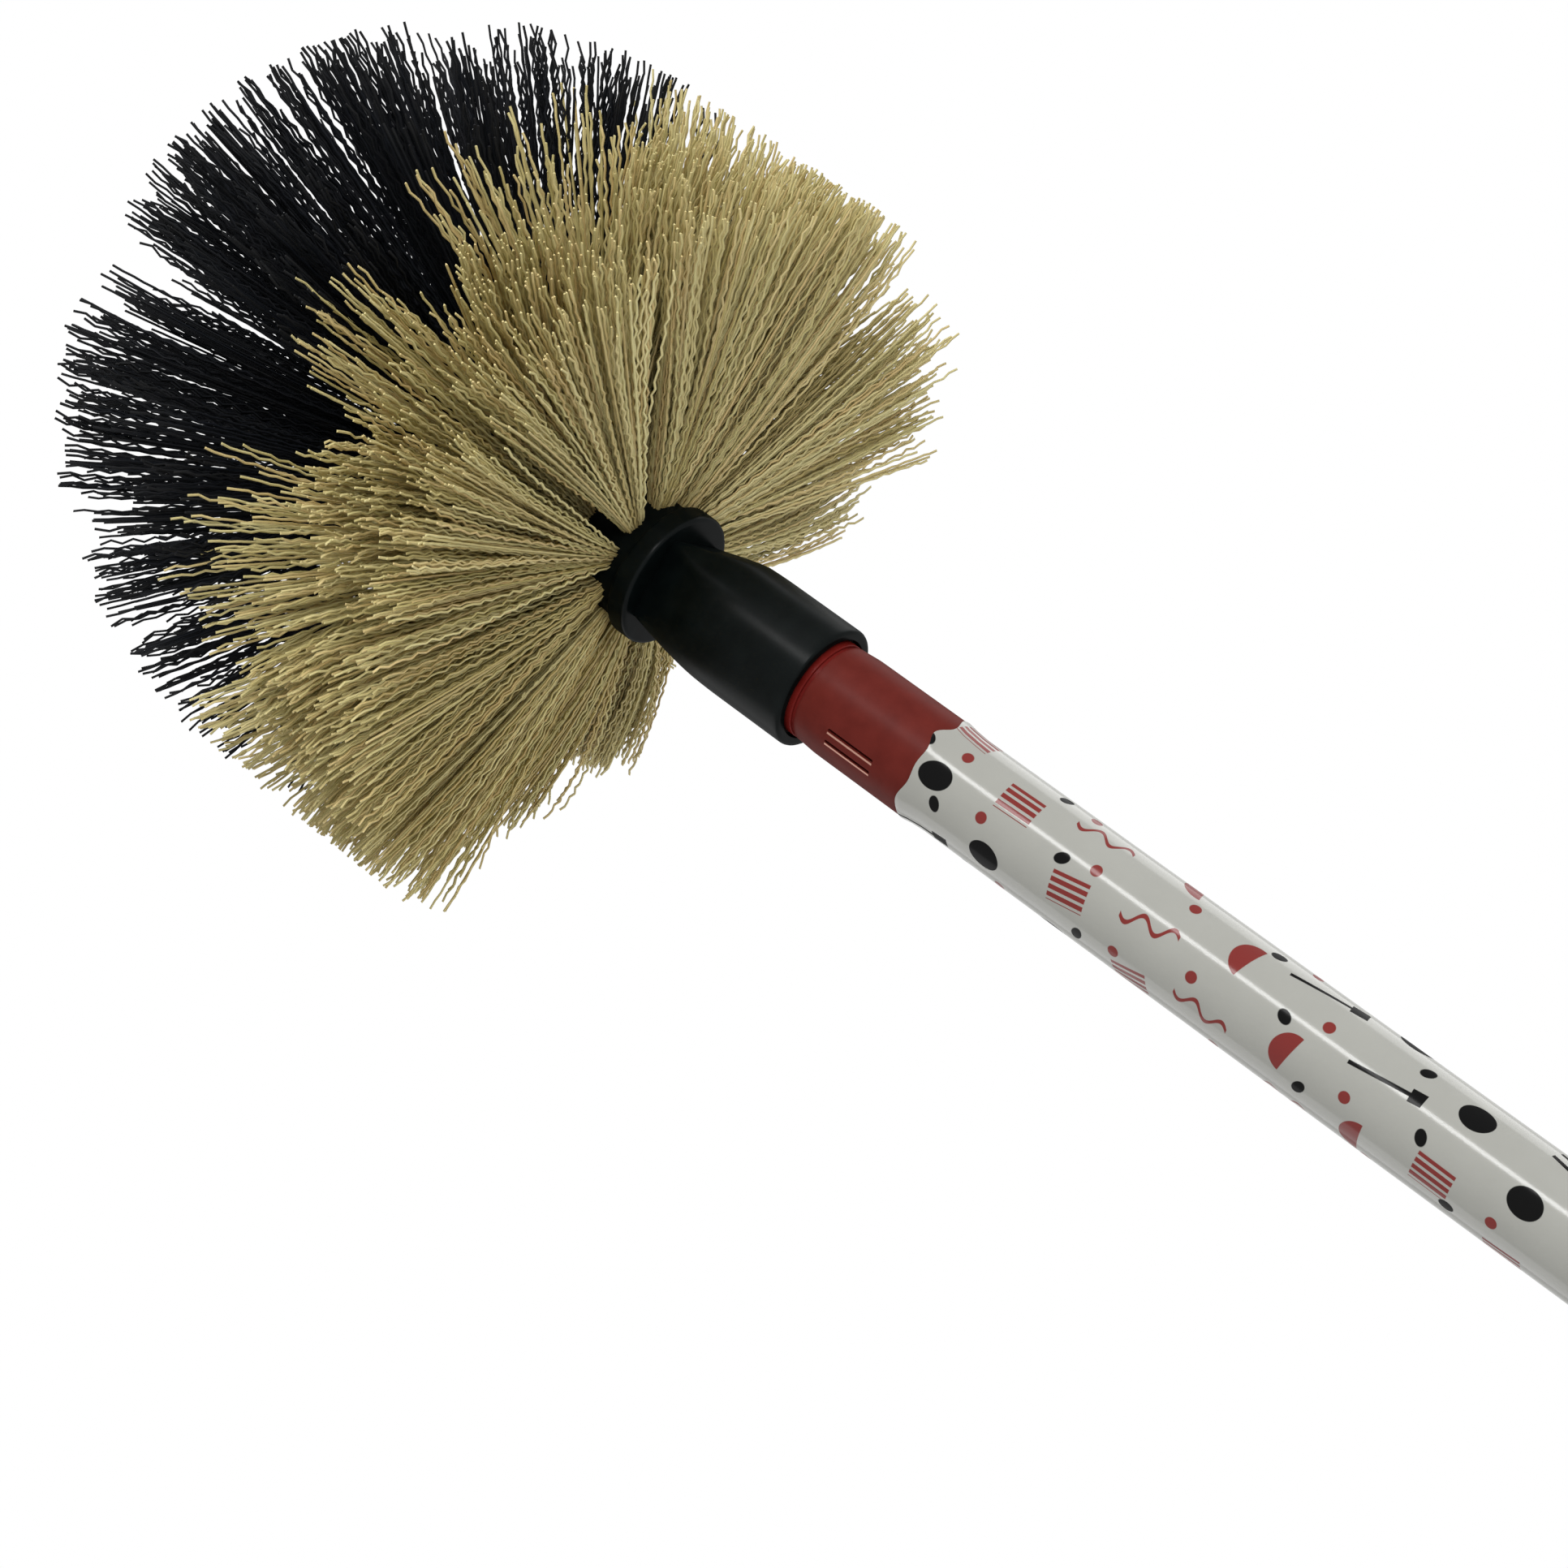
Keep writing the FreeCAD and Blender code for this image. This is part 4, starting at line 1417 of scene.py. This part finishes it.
@dataclass
class BrushBlock:
    """The black moulding: threaded socket, square neck, flange and drilled hub, in millimetres."""

    mouth: float = 1177.9
    seat: float = 1179.9
    bore_top: float = 1208.9
    flange_under: float = 1219.9
    flange_top: float = 1224.9
    hub_top: float = 1267.4
    bore_radius: float = 10.8
    mouth_radius: float = 11.6
    socket_radius: float = 13.9
    neck_radius: float = 12.5
    neck_length: float = 18.0
    flange_radius: float = 15.3
    hub_radius: float = 13.6
    hub_slope: float = 4.4
    flat_distance: float = 9.0
    flat_fade: float = 16.0
    flat_turn: float = -14.4
    flat_blend: float = 0.22
    inner_margin: float = 0.3
    outer_margin: float = 0.1
    thread_depth: float = 0.8
    thread_margin: float = 1.0
    hole_radius: float = 2.0
    hole_depth: float = 4.5
    hole_proud: float = 2.0
    hole_sides: int = 16
    row_step: float = 0.8

    def outline(self) -> Outline:
        """The moulding's outline.

        Returns:
            Radius and height of its points, from the bottom of the bore round to the hub's end.
        """
        return rounded(
            [
                (0.0, self.bore_top, 0.0),
                (self.bore_radius, self.bore_top, 0.8),
                (self.bore_radius, self.seat, 0.2),
                (self.mouth_radius, self.seat, 0.2),
                (self.mouth_radius, self.mouth, 0.4),
                (self.socket_radius, self.mouth, 1.3),
                (self.socket_radius, self.flange_under - self.neck_length, 5.0),
                (self.neck_radius, self.flange_under, 0.7),
                (self.flange_radius, self.flange_under, 1.0),
                (self.flange_radius, self.flange_top, 1.0),
                (self.hub_radius, self.flange_top, 0.5),
                (self.hub_radius, self.hub_top - self.hub_slope, 1.5),
                (self.hub_radius - self.hub_slope, self.hub_top, 1.5),
                (0.0, self.hub_top, 0.0),
            ]
        )

    def shape(self, angle: Grid, radius: Grid, height: Grid) -> tuple[Grid, Grid]:
        """Cuts the neck's flats and the thread in the bore.

        Args:
            angle: Angles round the axis.
            radius: The turned radius at each point.
            height: The height at each point.

        Returns:
            The new radius and the same height.
        """
        slope = (self.socket_radius - self.neck_radius) / self.neck_length
        low = self.flange_under - self.flat_fade
        start = self.neck_radius + slope * self.flat_fade
        share = np.clip((height - low) / self.flat_fade, 0, 1)
        distance = start + (self.flat_distance - start) * share
        around = (angle - math.radians(self.flat_turn) + math.pi / 4) % (math.pi / 2) - math.pi / 4
        beyond = radius - distance / np.cos(around)
        cut = radius - self.flat_blend * np.logaddexp(0.0, beyond / self.flat_blend)
        on_neck = (height > low) & (height < self.flange_under + SAME)
        on_neck &= radius > self.mouth_radius + self.inner_margin
        on_neck &= radius < self.socket_radius + self.outer_margin
        radius = np.where(on_neck, cut, radius)
        in_bore = np.abs(radius - self.bore_radius) < SAME
        ends = (self.seat + self.thread_margin, self.bore_top - self.thread_margin)
        groove = thread_wave(angle, height, *ends)
        return np.where(in_bore, radius + self.thread_depth * groove, radius), height

    def drills(self, rows: Iterable[TuftRow]) -> bpy.types.Object:
        """All drills for the tuft holes as one mesh.

        Args:
            rows: The rows of tufts.

        Returns:
            The drills.
        """
        work = bmesh.new()
        for row in rows:
            for number in range(row.count):
                root, axis, _ = row.stance(number)
                middle = (root - axis * ((self.hole_depth - self.hole_proud) / 2)) * MM
                place = Matrix.Translation(middle) @ axis.to_track_quat("Z", "Y").to_matrix().to_4x4()
                length = self.hole_depth + self.hole_proud
                add_drill(work, place, self.hole_radius, length, self.hole_sides)
        return from_work("drills", work)

    def build(self, rows: Iterable[TuftRow]) -> None:
        """Moulds, drills and dresses the block.

        Args:
            rows: The rows of tufts that the hub is drilled for.
        """
        block = turned("moulded_block", divided(self.outline(), self.row_step), shape=self.shape)
        combine(block, self.drills(rows), Cut.DRILL)
        soften(block)
        present(block, SATIN_BLACK.make(), Body.HEAD, "brush_block")


@dataclass
class Handle:
    """Tube, film, threaded tip and hanging cap, in millimetres."""

    cap_radius: float = 10.8
    cap_around: int = 96
    cap_run: float = 4.0
    tongue_length: float = 20.0
    tongue_radius: float = 8.0
    tongue_half: float = 4.0
    tongue_steps: int = 24
    tongue_overlap: float = 1.5
    tongue_bevel: float = 0.9
    hole_radius: float = 4.0
    hole_height: float = 8.0
    hole_sides: int = 48
    cap_plug_top: float = 50.0
    tube_bottom: float = 26.0
    tube_top: float = 1176.0
    tube_radius: float = 10.8
    tube_bore: float = 10.3
    tube_run: float = 40.0
    swell: float = 0.65
    swell_bottom: float = 1143.0
    swell_run: float = 5.5
    swell_rows: float = 1.0
    plug_radius: float = 10.2
    film_top: float = 1146.0
    film_bore: float = 10.85
    film_radius: float = 11.0
    film_run: float = 6.0
    tip_plug_bottom: float = 1136.0
    tip_run: float = 0.7
    groove_top: float = 1176.9
    groove_radius: float = 10.55
    ring_top: float = 1179.9
    ring_radius: float = 11.1
    spigot_top: float = 1206.9
    thread_crest: float = 10.4
    thread_root: float = 9.3
    thread_margins: tuple[float, float] = (1.2, 1.0)
    slits: SlitPair = SLITS
    slit_sides: int = 16
    slit_reach: tuple[float, float] = (7.0, 14.0)
    edge_waves: tuple[tuple[int, float, float], ...] = ((2, 0.55, 0.7), (5, 0.35, 2.1), (9, 0.2, 4.4))
    edge_bump: Point = (-60.0, 1.6, 0.22)
    edge_rise: float = 1.2
    edge_fade: float = 30.0

    def build(self) -> None:
        """Builds and dresses the four pieces."""
        self.build_tube()
        self.build_film()
        self.build_tip()
        self.build_cap()

    def slit_cutters(self) -> bpy.types.Object:
        """The two round-ended cutters of the slits.

        Returns:
            Both as one object.
        """
        slits = self.slits
        work = bmesh.new()
        turn = Matrix.Rotation(math.radians(slits.turn), 4, "Z")
        for aside in (-slits.offset, slits.offset):
            ring = []
            for step in range(self.slit_sides):
                angle = math.tau * (step + 0.5) / self.slit_sides
                along = math.copysign(slits.half_length - slits.half_width, math.sin(angle))
                across = aside + slits.half_width * math.cos(angle)
                ring.append((across, slits.middle + along + slits.half_width * math.sin(angle)))
            inner, outer = ([turn @ Vector((out, *point)) for point in ring] for out in self.slit_reach)
            add_prism(work, inner, outer)
        bmesh.ops.recalc_face_normals(work, faces=work.faces)
        return from_work("slits", work)

    def swollen(self, height: Grid) -> Grid:
        """How much thicker the film-free end of the tube is.

        Args:
            height: The height at each point.

        Returns:
            What is added to the radius there.
        """
        shares = ((height - self.swell_bottom) / self.swell_run, (self.tube_top - height) / self.swell_run)
        rise, fall = (s * s * (3.0 - 2.0 * s) for s in (np.clip(share, 0.0, 1.0) for share in shares))
        return self.swell * rise * (0.5 + 0.5 * fall)

    def tube_shape(self, angle: Grid, radius: Grid, height: Grid) -> tuple[Grid, Grid]:
        """Swells the outside of the tube's film-free end.

        Args:
            angle: Angles round the axis, not used here.
            radius: The radius at each point.
            height: The height at each point.

        Returns:
            The new radius and the same height.
        """
        outside = radius > (self.tube_bore + self.tube_radius) / 2
        return np.where(outside, radius + self.swollen(height), radius), height

    def build_tube(self) -> None:
        """The enamelled tube with its two slits."""
        rows = np.arange(self.swell_bottom, self.tube_top, self.swell_rows)
        wall = rounded(
            [
                (self.tube_bore, self.tube_bottom, 0.0),
                (self.tube_radius, self.tube_bottom, 0.15),
                *((self.tube_radius, height, 0.0) for height in rows),
                (self.tube_radius, self.tube_top, 0.25),
                (self.tube_bore, self.tube_top, 0.0),
            ],
            steps=3,
        )
        tube = turned("enamelled_tube", divided(wall, self.tube_run), closed=True, shape=self.tube_shape)
        combine(tube, self.slit_cutters(), Cut.DRILL)
        soften(tube)
        present(tube, ENAMEL.make(), Body.HANDLE, "handle_tube")

    def film_shape(self, angle: Grid, radius: Grid, height: Grid) -> tuple[Grid, Grid]:
        """Gives the film's upper edge its uneven line and lays it over the tube's swell.

        Args:
            angle: Angles round the axis.
            radius: The radius at each point.
            height: The height at each point.

        Returns:
            The new radius and height.
        """
        place, rise, width = self.edge_bump
        edge = sum(size * np.sin(count * angle + start) for count, size, start in self.edge_waves)
        away = (angle - math.radians(place) + math.pi) % math.tau - math.pi
        edge = edge + rise * np.exp(-((away / width) ** 2))
        share = np.clip((height - self.film_top + self.edge_fade) / self.edge_fade, 0, 1) ** 3
        height = height + (edge + self.edge_rise) * share
        return radius + self.swollen(height), height

    def build_film(self) -> None:
        """The printed film over the tube."""
        rows = (self.swell_bottom - 2.0, self.film_top - 2.0, self.film_top - 1.0)
        wall = rounded(
            [
                (self.film_bore, self.tube_bottom, 0.0),
                (self.film_radius, self.tube_bottom, 0.06),
                *((self.film_radius, height, 0.0) for height in rows),
                (self.film_radius, self.film_top, 0.1),
                (self.film_bore, self.film_top, 0.0),
                *((self.film_bore, height, 0.0) for height in reversed(rows)),
            ],
            steps=2,
        )
        film = turned("printed_film", divided(wall, self.film_run), closed=True, shape=self.film_shape)
        present(film, FILM.make(), Body.HANDLE, "print_sleeve")

    def tip_shape(self, angle: Grid, radius: Grid, height: Grid) -> tuple[Grid, Grid]:
        """Runs the thread up the spigot.

        Args:
            angle: Angles round the axis.
            radius: The radius at each point.
            height: The height at each point.

        Returns:
            The new radius and the same height.
        """
        low, high = self.thread_margins
        on_spigot = np.abs(radius - self.thread_root) < SAME
        ridge = thread_wave(angle, height, self.ring_top + low, self.spigot_top - high)
        crest = self.thread_crest - self.thread_root
        return np.where(on_spigot, radius + crest * ridge, radius), height

    def build_tip(self) -> None:
        """The plug with groove, ring and threaded spigot."""
        outline = rounded(
            [
                (0.0, self.tip_plug_bottom, 0.0),
                (self.plug_radius, self.tip_plug_bottom, 1.0),
                (self.plug_radius, self.tube_top, 0.0),
                (self.groove_radius, self.tube_top, 0.1),
                (self.groove_radius, self.groove_top, 0.1),
                (self.ring_radius, self.groove_top, 0.35),
                (self.ring_radius, self.ring_top, 0.35),
                (self.thread_root, self.ring_top, 0.2),
                (self.thread_root, self.spigot_top, 1.0),
                (0.0, self.spigot_top, 0.0),
            ]
        )
        tip = turned("threaded_tip_insert", divided(outline, self.tip_run), shape=self.tip_shape)
        present(tip, RED_PLASTIC.make(), Body.HANDLE, "threaded_tip")

    def tongue(self) -> bpy.types.Object:
        """The rounded tongue under the cap, before its hole is drilled.

        Returns:
            The new object.
        """
        radius, top = self.tongue_radius, self.tongue_length + self.tongue_overlap
        outline = [(radius, top), (-radius, top)]
        for step in range(self.tongue_steps + 1):
            angle = math.pi + math.pi * step / self.tongue_steps
            outline.append((math.cos(angle) * radius, math.sin(angle) * radius + self.hole_height))
        sides = (-self.tongue_half, self.tongue_half)
        front, back = ([Vector((x, y, z)) for x, z in outline] for y in sides)
        work = bmesh.new()
        add_prism(work, front, back)
        bmesh.ops.recalc_face_normals(work, faces=work.faces)
        rims = [edge for edge in work.edges if edge.calc_face_angle(0) > 1.0]
        bevel = self.tongue_bevel * MM
        bmesh.ops.bevel(work, geom=rims, offset=bevel, segments=3, profile=0.5, affect="EDGES")
        return from_work("tongue", work)

    def build_cap(self) -> None:
        """The hanging cap: plug, head and holed tongue."""
        outline = rounded(
            [
                (0.0, self.tongue_length, 0.0),
                (self.cap_radius, self.tongue_length, 1.2),
                (self.cap_radius, self.tube_bottom, 0.3),
                (self.plug_radius, self.tube_bottom, 0.0),
                (self.plug_radius, self.cap_plug_top, 1.0),
                (0.0, self.cap_plug_top, 0.0),
            ]
        )
        cap = turned("hanging_cap_moulding", divided(outline, self.cap_run), around=self.cap_around)
        combine(cap, self.tongue(), Cut.WELD)
        work = bmesh.new()
        middle = Vector((0.0, 0.0, self.hole_height * MM))
        place = Matrix.Translation(middle) @ Matrix.Rotation(math.pi / 2, 4, "X")
        add_drill(work, place, self.hole_radius, 4 * self.tongue_half, self.hole_sides)
        combine(cap, from_work("hole", work), Cut.DRILL)
        soften(cap)
        present(cap, RED_PLASTIC.make(), Body.HANDLE, "hanging_cap")


@dataclass(frozen=True)
class Lamp:
    """One soft rectangular lamp, in metres and watts."""

    name: str
    place: Point
    target: Point
    size: tuple[float, float]
    power: float

    def build(self) -> None:
        """Hangs the lamp and turns it to its target."""
        data = bpy.data.lights.new(self.name, "AREA")
        data.shape = "RECTANGLE"
        data.size, data.size_y = self.size
        data.energy = self.power
        lamp = new_object(self.name, data)
        place = Vector(self.place)
        lamp.location = place
        lamp.rotation_euler = (Vector(self.target) - place).to_track_quat("-Z", "Y").to_euler()


@dataclass
class Studio:
    """Camera at the photograph's angle, soft lamps, pale floor and white surround, in metres."""

    right: Point = (0.5954, 0.3373, -0.7292)
    back: Point = (0.0056, -0.9093, -0.4161)
    aim: Point = (0.0, 0.0, 1.2224)
    aim_pixel: tuple[float, float] = (821.6, 709.1)
    aim_depth: float = 0.7661
    focal_pixels: float = 4543.0
    sensor: float = 36.0
    clip: tuple[float, float] = (0.01, 100.0)
    floor_size: float = 16.0
    floor_lines: int = 8
    ambient: float = 0.6
    lamps: tuple[Lamp, ...] = (
        Lamp("strip", (0.46, -1.12, 1.3), (0.0, 0.0, 1.3), (0.17, 1.6), 11.0),
        Lamp("top", (0.9, -0.9, 2.4), (0.0, 0.0, 1.25), (0.9, 0.9), 8.5),
        Lamp("fill", (1.6, 1.1, 1.6), (0.0, 0.0, 1.0), (1.2, 1.2), 7.5),
        Lamp("back", (-1.6, 0.8, 1.6), (0.0, 0.0, 1.1), (1.2, 1.2), 5.0),
    )

    def build(self) -> None:
        """Sets up camera, lamps, floor and world."""
        self.build_camera()
        for lamp in self.lamps:
            lamp.build()
        self.build_floor()
        self.build_world()
        bpy.context.scene.view_settings.view_transform = "Standard"

    def build_camera(self) -> None:
        """Places the camera so that the flange's middle falls on its pixel."""
        back = Vector(self.back).normalized()
        across = Vector(self.right)
        right = (across - back * across.dot(back)).normalized()
        up = back.cross(right)
        middle = PHOTO_PIXELS / 2
        aside = (self.aim_pixel[0] - middle) / self.focal_pixels * self.aim_depth
        above = (middle - self.aim_pixel[1]) / self.focal_pixels * self.aim_depth
        place = Vector(self.aim) - right * aside - up * above + back * self.aim_depth
        data = bpy.data.cameras.new("camera")
        data.sensor_width = self.sensor
        data.lens = self.focal_pixels / PHOTO_PIXELS * self.sensor
        data.clip_start, data.clip_end = self.clip
        camera = new_object("camera", data)
        turn = Matrix((right, up, back)).transposed().to_4x4()
        camera.matrix_world = Matrix.Translation(place) @ turn
        bpy.context.scene.camera = camera

    def build_floor(self) -> None:
        """The pale floor under the brush."""
        lines = self.floor_lines
        wide = lines + 1
        steps = [-self.floor_size / 2 + self.floor_size * k / lines for k in range(wide)]
        points = [(x, y, 0.0) for y in steps for x in steps]
        corners = [row * wide + column for row in range(lines) for column in range(lines)]
        faces = [(first, first + 1, first + wide + 1, first + wide) for first in corners]
        mesh = bpy.data.meshes.new("floor")
        mesh.from_pydata(points, [], faces)
        mesh.materials.append(PAPER.make())
        new_object("floor", mesh)

    def build_world(self) -> None:
        """A white surround for what is seen or mirrored, and a softer level for plain light."""
        world = bpy.data.worlds.new("surround")
        world.use_nodes = True
        world.node_tree.nodes.clear()
        graph = Graph(world.node_tree)
        soft, plain = (
            graph.node("ShaderNodeBackground", {}, {"Color": PURE_WHITE, "Strength": strength})
            for strength in (self.ambient, 1.0)
        )
        both = graph.node("ShaderNodeMixShader", {}, {0: seen_rays(graph), 1: soft, 2: plain})
        graph.node("ShaderNodeOutputWorld", {}, {"Surface": both})
        bpy.context.scene.world = world


def main() -> None:
    """Builds the brush and its studio in order."""
    logging.basicConfig(level=logging.INFO, format="%(name)s: %(message)s")
    Studio().build()
    head = BristleHead()
    BrushBlock().build(head.rows)
    head.build()
    Handle().build()
    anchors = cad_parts["tuft_anchors"]
    anchors.data.materials.clear()
    anchors.data.materials.append(STEEL.make())
    log.info("%s: kept from the frame", anchors.name)


if __name__ == "__main__":
    main()
